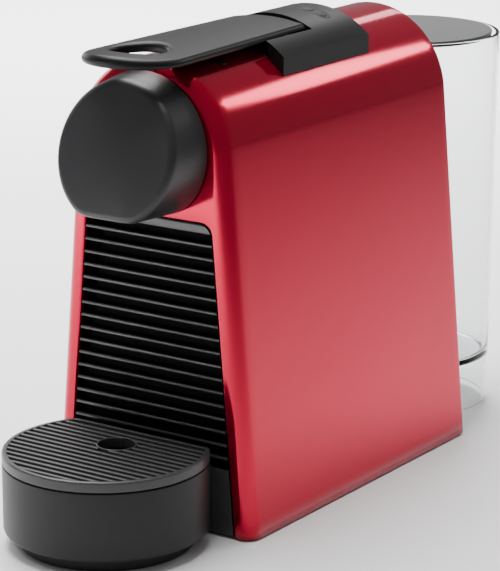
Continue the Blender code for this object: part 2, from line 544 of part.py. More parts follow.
def lever():
    """Crowned handle with a round tip and finger hole, on a hub about the hinge pin."""
    tip_y = LEVER_FRONT + LEVER_TIP_RADIUS
    run = LEVER_REAR - tip_y
    turn = asin((LEVER_TIP_RADIUS - LEVER_REAR_HALF) / run)
    tip = arc((0, tip_y), LEVER_TIP_RADIUS, turn, -pi - turn, 32)
    outline = [(LEVER_REAR_HALF, LEVER_REAR)] + tip + [(-LEVER_REAR_HALF, LEVER_REAR)]
    handle = prism("lever", outline, "Z", UNDER_TOP, OVER_TOP, "black_satin")
    rise = LEVER_CREST - LEVER_EDGE_TOP
    crown_radius = (LEVER_REAR_HALF ** 2 + rise ** 2) / (2 * rise)
    top = cap_profile(crown_radius, LEVER_CREST, LEVER_HALF_MAX)
    under = cap_profile(crown_radius * 1.6, LEVER_EDGE_BOTTOM + LEVER_UNDER_RISE, LEVER_HALF_MAX)
    crown = prism("keep_lever_crown", top + under[::-1], "Y", LEVER_FRONT - PAST, LEVER_REAR + PAST)
    bore, half = PIN_RADIUS + BORE_PLAY, LEVER_REAR_HALF
    hub = turned("join_lever_hub", [(bore, -half), (HUB_RADIUS, -half), (HUB_RADIUS, half), (bore, half)],
                 (0, HINGE_Y, HINGE_Z), "X", None, 24)
    gear_room = box("cut_gear_room", (-GEAR_WIDTH / 2 - GAP, HINGE_Y - 6 * MM, HINGE_Z - 7 * MM),
                    (GEAR_WIDTH / 2 + GAP, LEVER_REAR + 3 * MM, HINGE_Z + GEAR_HUB + GAP))
    swing = NOTCH_BACK - HINGE_Y - 1.3 * GAP
    heel = prism("keep_heel", arc((HINGE_Y, HINGE_Z), swing, -pi / 2, pi / 2, 47)
                 + [(LEVER_FRONT - PAST, HINGE_Z + swing), (LEVER_FRONT - PAST, HINGE_Z - swing)],
                 "X", -CLEAR_X, CLEAR_X)
    hole, lip = FINGER_HOLE_RADIUS, FINGER_HOLE_RADIUS + FINGER_LIP
    finger = turned("cut_finger_hole", [(0, UNDER_TOP), (hole, UNDER_TOP), (hole, LEVER_CREST - 2.6 * MM),
                                        (hole + 0.7 * MM, LEVER_CREST - 1.4 * MM),
                                        (lip, LEVER_CREST + 0.2 * MM),
                                        (lip, OVER_TOP), (0, OVER_TOP)], (0, FINGER_HOLE_Y, 0), "Z", None, 40)
    keep_inside(handle, crown)
    keep_inside(handle, heel)
    cut(handle, finger)
    join(handle, hub)
    cut(handle, gear_room)
    smooth(handle)


def tooth_row(pitch, phase, count):
    """Places along a pitch line, each with half the tooth's width and its height off the line."""
    slope = tan(PRESSURE_ANGLE)
    half, above, below = 0.2 * pitch, 0.8 * GEAR_MODULE, 1.0 * GEAR_MODULE
    corners = [(-half - below * slope, -below), (-half + above * slope, above),
               (half - above * slope, above), (half + below * slope, -below)]
    return [(phase + k * pitch + along, height) for k in range(count) for along, height in corners]


def gear_outline(centre, teeth, first_angle, count):
    """Teeth wrapped round a pitch circle, from first_angle, as points about centre."""
    radius = GEAR_MODULE * teeth / 2
    row = tooth_row(pi * GEAR_MODULE, first_angle * radius, count)
    return [(centre[0] + (radius + height) * cos(along / radius),
             centre[1] + (radius + height) * sin(along / radius))
            for along, height in row]


def lever_gear():
    """Toothed sector under the lever, centred on the hinge; a tooth points straight down at rest."""
    step = 2 * pi / SECTOR_TEETH
    teeth = gear_outline((HINGE_Y, HINGE_Z), SECTOR_TEETH, -pi / 2 - step, SECTOR_CUT_TEETH)
    hub = arc((HINGE_Y, HINGE_Z), GEAR_HUB, 0.21 * pi, pi, 10)
    gear = prism("lever_gear", teeth + hub, "X", -GEAR_WIDTH / 2, GEAR_WIDTH / 2, "inner_plastic")
    cut(gear, rod("cut_gear_bore", "X", (HINGE_Y, HINGE_Z), PIN_RADIUS + BORE_PLAY, -GEAR_WIDTH, GEAR_WIDTH,
                  steps=24))


def idler_gear():
    half_step = pi / IDLER_TEETH
    outline = gear_outline((HINGE_Y, IDLER_Z), IDLER_TEETH, pi / 2 + half_step, IDLER_TEETH)
    gear = prism("idler_gear", outline, "X", -GEAR_WIDTH / 2, GEAR_WIDTH / 2, "inner_plastic")
    cut(gear, rod("cut_idler_bore", "X", (HINGE_Y, IDLER_Z), IDLER_PIN + BORE_PLAY, -GEAR_WIDTH, GEAR_WIDTH,
                  steps=24))


def cage_rack():
    """Toothed bar on top of the cage; a gap between teeth is under the idler at rest."""
    pitch = pi * GEAR_MODULE
    row = tooth_row(pitch, HINGE_Y + (0.5 - RACK_TEETH_BEFORE) * pitch, RACK_TEETH)
    outline = [(y, RACK_Z + height) for y, height in row]
    low = BREW_Z + CAGE_RADIUS + GAP
    outline += [(row[-1][0], low), (row[0][0], low)]
    prism("cage_rack", outline, "X", -GEAR_WIDTH / 2 + 0.5 * MM, GEAR_WIDTH / 2 - 0.5 * MM, "inner_plastic")


def pins():
    reach = notch_half() + PIN_HOLD
    rod("lever_pin", "X", (HINGE_Y, HINGE_Z), PIN_RADIUS, -reach, reach, "steel", 24)
    rod("idler_pin", "X", (HINGE_Y, IDLER_Z), IDLER_PIN, -IDLER_PIN_REACH, IDLER_PIN_REACH, "steel", 24)


# Brew unit

def capsule_cage():
    """Cup that closes over the capsule, open to the front, with guide fins and a water port behind."""
    front = PLATE_BACK + GAP
    back = front + CAGE_LENGTH
    port, depth = back + PORT_LENGTH, back - 4 * MM
    profile = [(0, depth), (CAGE_BORE - 3 * MM, depth), (CAGE_BORE, front), (CAGE_RADIUS, front),
               (CAGE_RADIUS, back), (PORT_RADIUS_OUT, back), (PORT_RADIUS_OUT, port), (PORT_BORE, port),
               (PORT_BORE, port - 8 * MM), (0, port - 8 * MM)]
    cage = turned("capsule_cage", profile, (0, 0, BREW_Z), "Y", "inner_plastic", 32)
    for side in (-1, 1):
        reach = sorted((side * (CAGE_RADIUS - 1.5 * MM), side * (CAGE_RADIUS + FIN_REACH)))
        name = "join_fin_left" if side < 0 else "join_fin_right"
        join(cage, box(name, (reach[0], front + 8 * MM, BREW_Z - FIN_HEIGHT / 2),
                       (reach[1], back - 2 * MM, BREW_Z + FIN_HEIGHT / 2)))


def brew_frame():
    """Two grooved side walls that guide the cage, tied by a rear bridge, with the idler's yoke over them."""
    inner = CAGE_RADIUS + FRAME_PLAY
    outer = inner + FRAME_WALL
    low, high = BREW_Z - FRAME_HALF_HEIGHT, BREW_Z + FRAME_HALF_HEIGHT
    front, bridge = SHELL_FRONT + FRONT_WALL + GAP, FRAME_BACK - 3 * MM
    arm_low, arm_high = RACK_Z + 1.5 * MM, RACK_Z + 4.5 * MM
    fork_near, fork_far = GEAR_WIDTH / 2 + 2 * MM, GEAR_WIDTH / 2 + 5 * MM
    frame = box("brew_frame", (-outer, bridge, low), (outer, FRAME_BACK, high), "inner_plastic")

    def block(name, near, far, start, end, bottom, top):
        reach = sorted((side * near, side * far))
        return box(name, (reach[0], start, bottom), (reach[1], end, top))

    for side, label in ((-1, "left"), (1, "right")):
        join(frame, block("join_wall_" + label, inner, outer, front, FRAME_BACK - MM, low, high),
             block("join_post_" + label, inner, outer, HINGE_Y - 5 * MM, HINGE_Y + 5 * MM, high - MM,
                   arm_high),
             block("join_arm_" + label, fork_near, outer, HINGE_Y - 4 * MM, HINGE_Y + 4 * MM, arm_low,
                   arm_high),
             block("join_fork_" + label, fork_near, fork_far, HINGE_Y - 4 * MM, HINGE_Y + 4 * MM,
                   arm_low + MM,
                   IDLER_Z + 4 * MM))
        cut(frame, block("cut_groove_" + label, inner - MM, CAGE_RADIUS + FIN_REACH + GAP, front - MM,
                         bridge - GAP,
                         BREW_Z - FIN_HEIGHT / 2 - GAP, BREW_Z + FIN_HEIGHT / 2 + GAP))
    seat = IDLER_PIN_REACH + GAP
    cut(frame, rod("cut_idler_seat", "X", (HINGE_Y, IDLER_Z), IDLER_PIN + BORE_PLAY, -seat, seat, steps=24),
        rod("cut_hose_pass", "Y", (0, BREW_Z), 2 * THIN_HOSE[0], bridge - PAST, FRAME_BACK + PAST, steps=24))


def brew_head():
    """Fixed front block that collects the coffee behind the piercing plate."""
    front, back = PANEL_BACK + GAP, PLATE_BACK - PLATE_THICKNESS - GAP
    profile = [(0, front), (CAGE_RADIUS, front), (CAGE_RADIUS, back), (CAGE_RADIUS - 3 * MM, back),
               (2.5 * MM, back - 4 * MM), (2.5 * MM, front + 4 * MM), (0, front + 4 * MM)]
    head = turned("brew_head", profile, (0, 0, BREW_Z), "Y", "inner_plastic", 32)
    cut(head, rod("cut_head_outlet", "Y", (0, BREW_Z), 2.2 * MM, front - MM, front + 8 * MM, steps=16))


def piercing_plate():
    front = PLATE_BACK - PLATE_THICKNESS
    plate = rod("piercing_plate", "Y", (0, BREW_Z), CAGE_RADIUS - MM, front, PLATE_BACK, "steel", 32)
    holes = [(SIEVE_PITCH * i, BREW_Z + SIEVE_PITCH * j)
             for i in range(-2, 3) for j in range(-2, 3) if (i + j) % 2 == 0]
    for k, place in enumerate(holes):
        cut(plate, rod("cut_sieve_%d" % k, "Y", place, SIEVE_RADIUS, front - PAST, PLATE_BACK + PAST,
                       steps=6))


def outlet_spout():
    """Bent pipe from the brew head down through the nose, with two coffee ports in its foot."""
    pipe = rod("outlet_spout", "Y", (0, BREW_Z), SPOUT_PIPE, SPOUT_Y, PANEL_BACK, "black_matte", 24)
    foot = rod("join_spout_foot", "Z", (0, SPOUT_Y), SPOUT_RADIUS, NOSE_BOTTOM + 0.3 * MM,
               BREW_Z + SPOUT_PIPE + 0.1 * MM,
               steps=32)
    run = rod("cut_spout_run", "Y", (0, BREW_Z), SPOUT_BORE, SPOUT_Y - 1.3 * MM, PANEL_BACK + PAST, steps=16)
    ports = [rod("cut_port_%d" % i, "Z", (side * PORT_X, SPOUT_Y), PORT_RADIUS, NOSE_BOTTOM - PAST,
                 BREW_Z + 0.7 * MM, steps=12) for i, side in enumerate((-1, 1))]
    join(pipe, foot)
    cut(pipe, run, *ports)


# Buttons and electronics

def button_places():
    return [BUTTON_X - BUTTON_SPACING / 2, BUTTON_X + BUTTON_SPACING / 2]


def buttons():
    """Two caps in the cover's window; each stem and the spring round it reach down to the board."""
    for i, x in enumerate(button_places()):
        crest = COVER_CREST - COVER_RADIUS + sqrt(COVER_RADIUS ** 2 - (x + BUTTON_LENGTH / 2) ** 2)
        top = crest - 0.3 * MM
        low = top - BUTTON_DEPTH
        cap = prism("button_%d" % (i + 1), pill(x, BUTTON_Y, BUTTON_LENGTH, BUTTON_WIDTH), "Z", low, top,
                    "black_matte")
        join(cap, rod("join_stem_%d" % (i + 1), "Z", (x, BUTTON_Y), STEM_RADIUS,
                      BOARD_TOP + BUTTON_TRAVEL + GAP,
                      low + MM, steps=12))
        coil("button_spring_%d" % (i + 1), (x, BUTTON_Y), SPRING_RADIUS, SPRING_WIRE,
             BOARD_TOP + GAP + SPRING_WIRE,
             low - GAP / 2 - SPRING_WIRE, 5)


def coil(name, place, radius, wire, low, high, turns):
    """Round wire wound about a vertical axis."""
    steps, sides = 10 * turns, 5
    bm = bmesh.new()
    rings = []
    for i in range(steps + 1):
        angle = 2 * pi * turns * i / steps
        out = Vector((cos(angle), sin(angle), 0))
        centre = Vector((place[0], place[1], low + (high - low) * i / steps)) + out * radius
        rim = [(cos(2 * pi * k / sides), sin(2 * pi * k / sides)) for k in range(sides)]
        rings.append([bm.verts.new(centre + wire * (out * across + Vector((0, 0, up)))) for across, up in rim])
    for first, second in zip(rings, rings[1:]):
        for k in range(sides):
            bm.faces.new([first[k], first[(k + 1) % sides], second[(k + 1) % sides], second[k]])
    bm.faces.new(rings[0])
    bm.faces.new(rings[-1])
    object_from(name, bm, "steel")


def control_board():
    box("control_board", (BUTTON_X - 25 * MM, BUTTON_Y - 9 * MM, BOARD_TOP - BOARD_THICKNESS),
        (BUTTON_X + 9 * MM, BUTTON_Y + 14 * MM, BOARD_TOP), "board_green")


# Water side

def tank_outline(radius, front):
    """Circle in X and Y about the tank's middle, cut straight across at the front."""
    start = asin((front - TANK_Y) / radius)
    return arc((0, TANK_Y), radius, start, pi - start, 48)


def tank_solid(name, inset, bottom, top, finish=None):
    """Solid of the tapering D shape, each wall moved in by inset."""
    def radius_at(height):
        share = (height - TANK_BOTTOM) / (TANK_TOP - TANK_BOTTOM)
        return TANK_FOOT_RADIUS + share * (TANK_RADIUS - TANK_FOOT_RADIUS) - inset
    bm = bmesh.new()
    rings = [[bm.verts.new((x, y, height)) for x, y in tank_outline(radius_at(height), TANK_FRONT + inset)]
             for height in (bottom, top)]
    bm.faces.new(rings[0])
    bm.faces.new(rings[1])
    count = len(rings[0])
    for i in range(count):
        j = (i + 1) % count
        bm.faces.new([rings[0][i], rings[0][j], rings[1][j], rings[1][i]])
    return object_from(name, bm, finish)


def tank():
    body = tank_solid("tank", 0, TANK_BOTTOM, TANK_TOP, "tank_clear")
    inside = tank_solid("cut_tank_inside", TANK_WALL, TANK_FLOOR, TANK_TOP + PAST)
    skirt = tank_solid("cut_tank_skirt", TANK_WALL, TANK_BOTTOM - PAST, TANK_FLOOR - TANK_WALL)
    dock = box("cut_dock_room", (-DOCK_HALF - 2 * GAP, TANK_FRONT - PAST, -PAST),
               (DOCK_HALF + 2 * GAP, TANK_FRONT + PAST, DOCK_TOP + GAP))
    valve = rod("cut_valve_hole", "Z", (0, DOCK_Y), VALVE_RADIUS, TANK_FLOOR - TANK_WALL - PAST,
                TANK_FLOOR + PAST,
                steps=24)
    cut(body, inside, skirt, dock, valve)
    smooth(body)


def tank_lid():
    """Flat cap inside the tank's rim with a skirt below."""
    top = TANK_TOP + LID_RISE
    lid = tank_solid("tank_lid", LID_MARGIN, top - LID_THICKNESS - LID_DEPTH, top, "lid_grey")
    hollow = tank_solid("cut_lid_hollow", LID_MARGIN + LID_SKIRT, top - 2 * LID_DEPTH, top - LID_THICKNESS)
    cut(lid, hollow)
    smooth(lid)


def tank_valve():
    """Mushroom valve on the tank's floor, its spring and its cage; the stem passes through the hole."""
    head, foot, stem = TANK_FLOOR + GAP, TANK_FLOOR - TANK_WALL - 2 * MM, 1.4 * MM
    valve = turned("tank_valve", [(0, foot), (VALVE_STEM, foot), (VALVE_STEM, head), (VALVE_HEAD, head),
                                  (VALVE_HEAD, head + 2 * MM), (stem, head + 2 * MM), (stem, head + 8 * MM),
                                  (0, head + 8 * MM)], (0, DOCK_Y, 0), "Z", "inner_plastic", 24)
    smooth(valve)
    coil("valve_spring", (0, DOCK_Y), 3.6 * MM, 0.4 * MM, head + 2.8 * MM, head + 10 * MM, 4)
    top, wall, guide = head + VALVE_CAGE_HEIGHT, VALVE_CAGE - 1.5 * MM, stem + 0.5 * MM
    roof = turned("valve_cage", [(guide, top - 1.2 * MM), (wall, top - 1.2 * MM), (wall, head),
                                 (VALVE_CAGE, head),
                                 (VALVE_CAGE, top), (guide, top)], (0, DOCK_Y, 0), "Z", "inner_plastic", 24)
    low, high, half, reach = TANK_FLOOR + 2 * MM, top - 3 * MM, 3 * MM, VALVE_CAGE + PAST
    cut(roof, box("cut_valve_port_1", (-reach, DOCK_Y - half, low), (reach, DOCK_Y + half, high)),
        box("cut_valve_port_2", (-half, DOCK_Y - reach, low), (half, DOCK_Y + reach, high)))


def tank_dock():
    """Bracket behind the rear panel; the tank's valve stands in its cup."""
    dock = box("tank_dock", (-DOCK_HALF, SHELL_BACK + GAP, TANK_BOTTOM + MM),
               (DOCK_HALF, DOCK_Y + DOCK_REACH, DOCK_TOP),
               "black_matte")
    floor = DOCK_TOP - DOCK_CUP_DEPTH
    cup = rod("cut_dock_cup", "Z", (0, DOCK_Y), DOCK_CUP, floor, DOCK_TOP + PAST, steps=24)
    duct = rod("cut_dock_duct", "Y", (0, DUCT_Z), DUCT_BORE, SHELL_BACK - PAST, DOCK_Y, steps=16)
    cut(dock, cup, duct)
    outer, top = DOCK_CUP - GAP, DOCK_TOP - 3 * MM
    seal = turned("dock_seal", [(SEAL_BORE, floor + GAP), (outer, floor + GAP), (outer, top),
                                (SEAL_BORE, top)],
                  (0, DOCK_Y, 0), "Z", "rubber", 24)
    smooth(seal)


def pump():
    """Vibration pump lying front to back on two rubber rings."""
    rod("pump", "Y", (PUMP_X, PUMP_Z), PUMP_RADIUS, PUMP_FRONT, PUMP_FRONT + PUMP_LENGTH, "steel", 32)
    bore = PUMP_RADIUS + GAP
    for i, y in enumerate((PUMP_FRONT + MOUNT_LENGTH, PUMP_FRONT + PUMP_LENGTH - 2 * MOUNT_LENGTH)):
        end = y + MOUNT_LENGTH
        ring = turned("pump_mount_%d" % (i + 1), [(bore, y), (MOUNT_RADIUS, y), (MOUNT_RADIUS, end),
                                                  (bore, end)],
                      (PUMP_X, 0, PUMP_Z), "Y", "rubber", 32)
        foot = box("join_mount_foot_%d" % i, (PUMP_X - MOUNT_FOOT, y, FLOOR_TOP + GAP),
                   (PUMP_X + MOUNT_FOOT, end, PUMP_Z - PUMP_RADIUS - 1.5 * MM))
        join(ring, foot)


def thermoblock():
    block = box("thermoblock", (-BLOCK_HALF, BLOCK_FRONT, BLOCK_BOTTOM), (BLOCK_HALF, BLOCK_BACK, BLOCK_TOP),
                "aluminium")
    passage = rod("cut_block_passage", "Y", (0, BREW_Z), DUCT_BORE, BLOCK_FRONT - PAST,
                  BLOCK_FRONT + 12 * MM, steps=16)
    inlet = rod("cut_block_inlet", "Z", (PUMP_X, BLOCK_INLET_Y), DUCT_BORE, BLOCK_BOTTOM - PAST,
                BLOCK_BOTTOM + 14 * MM,
                steps=16)
    cut(block, passage, inlet)


def hoses():
    """Water path: tank dock, flow meter, pump, heating block, cage."""
    tube("tank_hose", [(0, REAR_INSIDE, DUCT_Z), (0, REAR_INSIDE - 5.7 * MM, DUCT_Z),
                       (METER_X, METER_Y + 18 * MM, METER_Z),
                       (METER_X, METER_Y + METER_HALF + GAP, METER_Z)], *WIDE_HOSE, "hose_white")
    rod("flow_meter", "Y", (METER_X, METER_Z), METER_RADIUS, METER_Y - METER_HALF, METER_Y + METER_HALF,
        "inner_plastic", 32)
    start = METER_Y - METER_HALF - GAP
    tube("meter_hose", [(METER_X, start, METER_Z), (METER_X, start - 8 * MM, METER_Z),
                        (0, PUMP_FRONT - 6 * MM, 22 * MM), (PUMP_X, PUMP_FRONT - 12 * MM, PUMP_Z - 12 * MM),
                        (PUMP_X, PUMP_FRONT - 8 * MM, PUMP_Z), (PUMP_X, PUMP_FRONT - GAP, PUMP_Z)],
         *WIDE_HOSE, "hose_white")
    end = PUMP_FRONT + PUMP_LENGTH + GAP
    tube("pressure_hose", [(PUMP_X, end, PUMP_Z), (PUMP_X, end + 6 * MM, PUMP_Z),
                           (PUMP_X, end + 9 * MM, PUMP_Z + 12 * MM),
                           (PUMP_X, BLOCK_INLET_Y + 8 * MM, BLOCK_BOTTOM - 16 * MM),
                           (PUMP_X, BLOCK_INLET_Y, BLOCK_BOTTOM - 8 * MM),
                           (PUMP_X, BLOCK_INLET_Y, BLOCK_BOTTOM - GAP)],
         *THIN_HOSE, "hose_white")
    port = PLATE_BACK + GAP + CAGE_LENGTH + PORT_LENGTH
    tube("cage_hose", [(0, port + GAP, BREW_Z), (0, port + 12 * MM, BREW_Z), (0, FRAME_BACK - 2 * MM, BREW_Z),
                       (0, BLOCK_FRONT - GAP, BREW_Z)], *THIN_HOSE, "hose_white")


# Chassis

def bay_wall():
    low, top = FLOOR_TOP + GAP, BREW_Z - CAGE_RADIUS - GAP
    wide, narrow = (side_x(z, ARCH_RADIUS - SHELL_WALL) - GAP for z in (low, top))
    prism("bay_wall", [(wide, low), (narrow, top), (-narrow, top), (-wide, low)], "Y", BAY_BACK,
          BAY_BACK + BAY_WALL,
          "black_matte")


def guide_rails():
    for side, name in ((-1, "left"), (1, "right")):
        reach = sorted((side * (BUCKET_HALF + GAP), side * (BUCKET_HALF + GAP + RAIL_WIDTH)))
        box("guide_rail_" + name, (reach[0], BASE_FRONT + 2 * MM, FLOOR_TOP + GAP),
            (reach[1], BAY_BACK - GAP, RAIL_TOP),
            "black_matte")


def mains_inlet():
    """Gland in the rear panel where the mains lead would come out."""
    inside, outside, collar = SHELL_BACK - REAR_PANEL_THICKNESS, SHELL_BACK + 0.8 * MM, INLET_RADIUS + 2 * MM
    profile = [(INLET_BORE, inside - PAST), (collar, inside - PAST), (collar, inside - GAP),
               (INLET_RADIUS, inside - GAP), (INLET_RADIUS, outside), (INLET_BORE, outside)]
    gland = turned("mains_inlet", profile, (INLET_X, 0, INLET_Z), "Y", "rubber", 24)
    smooth(gland)


def rear_screws():
    """Four screws that hold the rear panel; their heads stand on its outer face."""
    head = SHELL_BACK + GAP
    for i, place in enumerate(SCREWS):
        rod("panel_screw_%d" % (i + 1), "Y", place, SCREW_RADIUS, head, head + MM, "steel", 16)


for old in list(bpy.data.objects):
    bpy.data.objects.remove(old, do_unlink=True)

for build in (body_shell, hinge_cover, nose_cover, rear_panel, base_plate, feet, container_front,
              capsule_container,
              drip_tray_cup, drip_grid, lever, lever_gear, idler_gear, cage_rack, pins, capsule_cage,
              brew_frame,
              brew_head, piercing_plate, outlet_spout, buttons, control_board, tank, tank_lid, tank_valve,
              tank_dock,
              pump, thermoblock, hoses, bay_wall, guide_rails, mains_inlet, rear_screws):
    build()

for piece in bpy.data.objects:
    if piece.modifiers and not piece.hide_render:
        weld = piece.modifiers.new("weld", "WELD")
        weld.merge_threshold = WELD_DISTANCE
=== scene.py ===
from math import acos, cos, pi, radians, sin, sqrt, tan

import bmesh
import bpy
import numpy as np
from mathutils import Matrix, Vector


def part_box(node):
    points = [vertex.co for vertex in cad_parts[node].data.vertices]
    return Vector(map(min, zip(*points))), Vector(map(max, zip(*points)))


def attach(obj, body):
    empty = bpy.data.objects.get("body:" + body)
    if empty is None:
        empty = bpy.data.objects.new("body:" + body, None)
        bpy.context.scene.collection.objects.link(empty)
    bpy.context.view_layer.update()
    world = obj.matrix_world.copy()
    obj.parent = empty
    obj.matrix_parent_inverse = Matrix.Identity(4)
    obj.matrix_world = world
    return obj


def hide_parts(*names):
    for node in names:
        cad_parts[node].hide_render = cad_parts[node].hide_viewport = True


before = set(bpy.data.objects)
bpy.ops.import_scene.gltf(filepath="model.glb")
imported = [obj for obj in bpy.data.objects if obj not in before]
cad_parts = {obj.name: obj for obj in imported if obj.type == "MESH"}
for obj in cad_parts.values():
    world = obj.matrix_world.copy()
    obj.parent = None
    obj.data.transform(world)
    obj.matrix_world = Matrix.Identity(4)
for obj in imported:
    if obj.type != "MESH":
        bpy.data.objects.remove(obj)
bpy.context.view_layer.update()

mm = 0.001


# a socket that can be used in plain arithmetic
class Value:
    def __init__(self, tree, socket):
        self.tree, self.socket = tree, socket

    def maths(self, operation, *others):
        return self.tree.node("ShaderNodeMath", {"operation": operation}, [self, *others])

    def __add__(self, other): return self.maths("ADD", other)
    def __radd__(self, other): return self.maths("ADD", other)
    def __sub__(self, other): return self.maths("SUBTRACT", other)
    def __rsub__(self, other): return self.tree.node("ShaderNodeMath", {"operation": "SUBTRACT"}, [other, self])
    def __mul__(self, other): return self.maths("MULTIPLY", other)
    def __rmul__(self, other): return self.maths("MULTIPLY", other)

    def clamp(self):
        return self.tree.node("ShaderNodeClamp", {}, [self])

    def smooth(self, low, high):
        return self.tree.node("ShaderNodeMapRange", {"interpolation_type": "SMOOTHSTEP"},
                              [self, low, high, 0.0, 1.0])


# a material's nodes; node() takes a type, its settings, and the values or links of its sockets
class Finish:
    def __init__(self, name):
        self.material = bpy.data.materials.new(name)
        self.material.use_nodes = True
        self.nodes = self.material.node_tree.nodes
        self.links = self.material.node_tree.links
        self.shader = self.nodes["Principled BSDF"]

    def node(self, kind, settings, sockets, output=0):
        made = self.nodes.new(kind)
        for key, setting in settings.items():
            setattr(made, key, setting)
        pairs = sockets.items() if isinstance(sockets, dict) else enumerate(sockets)
        for key, value in pairs:
            self.feed(made.inputs[key], value)
        return Value(self, made.outputs[output])

    def feed(self, socket, value):
        if isinstance(value, Value):
            self.links.new(value.socket, socket)
        else:
            socket.default_value = value

    def place(self):
        return self.node("ShaderNodeTexCoord", {}, {}, "Object")

    def axis(self, name):
        return self.node("ShaderNodeSeparateXYZ", {}, [self.place()], name)

    def noise(self, scale, detail=3.0, stretch=None, roughness=0.5):
        where = self.place()
        if stretch:
            where = self.node("ShaderNodeMapping", {}, {"Vector": where, "Scale": stretch})
        return self.node("ShaderNodeTexNoise", {}, {"Vector": where, "Scale": scale, "Detail": detail,
                                                    "Roughness": roughness}, "Fac")

    def mixColour(self, share, first, second):
        made = self.nodes.new("ShaderNodeMix")
        made.data_type = "RGBA"
        for index, value in ((0, share), (6, first), (7, second)):
            self.feed(made.inputs[index], (*value, 1.0) if isinstance(value, tuple) else value)
        return Value(self, made.outputs[2])

    def edgeWear(self, reach):
        # how convex the surface is: the bevelled normal against the true one
        soft = self.node("ShaderNodeBevel", {"samples": 6}, {"Radius": reach})
        true = self.node("ShaderNodeNewGeometry", {}, {}, "Normal")
        return 1.0 - self.node("ShaderNodeVectorMath", {"operation": "DOT_PRODUCT"}, [soft, true], "Value")

    def bump(self, height, strength, distance):
        sockets = {"Height": height, "Strength": strength, "Distance": distance}
        self.feed(self.shader.inputs["Normal"], self.node("ShaderNodeBump", {}, sockets, "Normal"))

    def set(self, **values):
        for key, value in values.items():
            self.feed(self.shader.inputs[key.replace("_", " ")],
                      (*value, 1.0) if isinstance(value, tuple) else value)
        return self


# finishes: each material is built once and shared

glossRedLook = {"colour": (0.50, 0.0015, 0.034), "deep": (0.46, 0.001, 0.028), "roughness": 0.085,
                "metal": 0.78,
                "coat": 0.16, "coatRoughness": 0.035, "peelScale": 420.0, "peelDepth": 0.000008}


def glossRed():
    look = glossRedLook
    finish = Finish("glossRed")
    cloud = finish.noise(9.0, 2.0)
    peel = finish.noise(look["peelScale"], 2.0)
    dust = finish.noise(2600.0, 1.0)
    finish.set(Base_Color=finish.mixColour(cloud, look["colour"], look["deep"]),
               Roughness=look["roughness"] + 0.05 * cloud + 0.03 * dust, Coat_Weight=look["coat"],
               Coat_Roughness=look["coatRoughness"], Coat_IOR=1.4, Metallic=look["metal"])
    finish.bump(peel, 0.25, look["peelDepth"])
    return finish.material


def blackPlastic(name, colour, roughness, grainScale, grainDepth, gloss=0.3):
    # moulded plastic: fine erosion grain, faint handling marks, and edges rubbed a little lighter
    finish = Finish(name)
    grain = finish.noise(grainScale, 3.0, roughness=0.7)
    smear = finish.noise(24.0, 4.0)
    worn = (finish.edgeWear(0.7 * mm) * 3.0).clamp()
    light = tuple(c * 1.7 + 0.005 for c in colour)
    finish.set(Base_Color=finish.mixColour(worn * 0.4 + grain * 0.15, colour, light),
               Roughness=(roughness + 0.10 * (smear - 0.5) + 0.06 * (grain - 0.5)).clamp(),
               Specular_IOR_Level=gloss)
    finish.bump(grain, 0.35, grainDepth)
    return finish.material


def ribPlasticPaintedShade(front):
    # light-catching rib faces in front of deep recesses, whose near-black colour is painted shade set by depth
    # in Y
    finish = Finish("ribPlasticPaintedShade")
    grain = finish.noise(2300.0, 3.0, roughness=0.7)
    # 1 on the rib faces, 0 deep in the recesses, where the near-black colour is painted shade
    face = 1.0 - finish.axis("Y").smooth(front + 0.3 * mm, front + 1.3 * mm)
    # first colour: painted shade in the recesses; second: the rib faces' own plastic
    finish.set(Base_Color=finish.mixColour(face, (0.0015, 0.0015, 0.0017), (0.045, 0.045, 0.047)),
               Roughness=(0.62 - 0.3 * face + 0.08 * (grain - 0.5)).clamp(), Coat_Weight=0.8 * face,
               Coat_Roughness=0.22, Specular_IOR_Level=0.06)
    finish.bump(grain, 0.3, 0.00002)
    return finish.material


def brushedMetal(name, colour, roughness, stretch):
    finish = Finish(name)
    lines = finish.noise(900.0, 3.0, stretch)
    finish.set(Base_Color=finish.mixColour(lines, colour, tuple(c * 0.8 for c in colour)), Metallic=1.0,
               Roughness=roughness + 0.15 * lines)
    finish.bump(lines, 0.15, 0.00003)
    return finish.material


def clearPlastic():
    # tank walls: nearly colourless, with a faint flow pattern and water marks near the floor
    finish = Finish("clearPlastic")
    flow = finish.noise(14.0, 2.0, (1.0, 1.0, 0.25))
    marks = finish.noise(130.0, 4.0)
    low = 1.0 - finish.axis("Z").smooth(0.02, 0.12)
    finish.set(Base_Color=finish.mixColour(flow, (0.86, 0.868, 0.88), (0.91, 0.916, 0.925)), IOR=1.18,
               Transmission_Weight=1.0, Roughness=0.015 + 0.03 * (marks * low), Specular_IOR_Level=0.6)
    finish.bump(flow, 0.12, 0.0003)
    return finish.material


def lidPlastic():
    finish = Finish("lidPlastic")
    speckle = finish.noise(1500.0, 2.0)
    swirl = finish.noise(30.0, 3.0)
    finish.set(Base_Color=finish.mixColour(speckle, (0.060, 0.061, 0.062), (0.074, 0.075, 0.077)),
               Roughness=0.42 + 0.12 * swirl, Specular_IOR_Level=0.3)
    finish.bump(speckle, 0.2, 0.00002)
    return finish.material


def softRubber():
    finish = Finish("softRubber")
    grain = finish.noise(1800.0, 4.0)
    finish.set(Base_Color=finish.mixColour(grain, (0.016, 0.016, 0.016), (0.035, 0.035, 0.034)),
               Roughness=0.75 + 0.15 * grain)
    finish.bump(grain, 0.5, 0.00004)
    return finish.material


def innerPlastic():
    finish = Finish("innerPlastic")
    fibres = finish.noise(700.0, 4.0, (1.0, 0.25, 1.0))
    finish.set(Base_Color=finish.mixColour(fibres, (0.25, 0.25, 0.255), (0.36, 0.36, 0.365)),
               Roughness=0.42 + 0.2 * fibres)
    finish.bump(fibres, 0.3, 0.00003)
    return finish.material


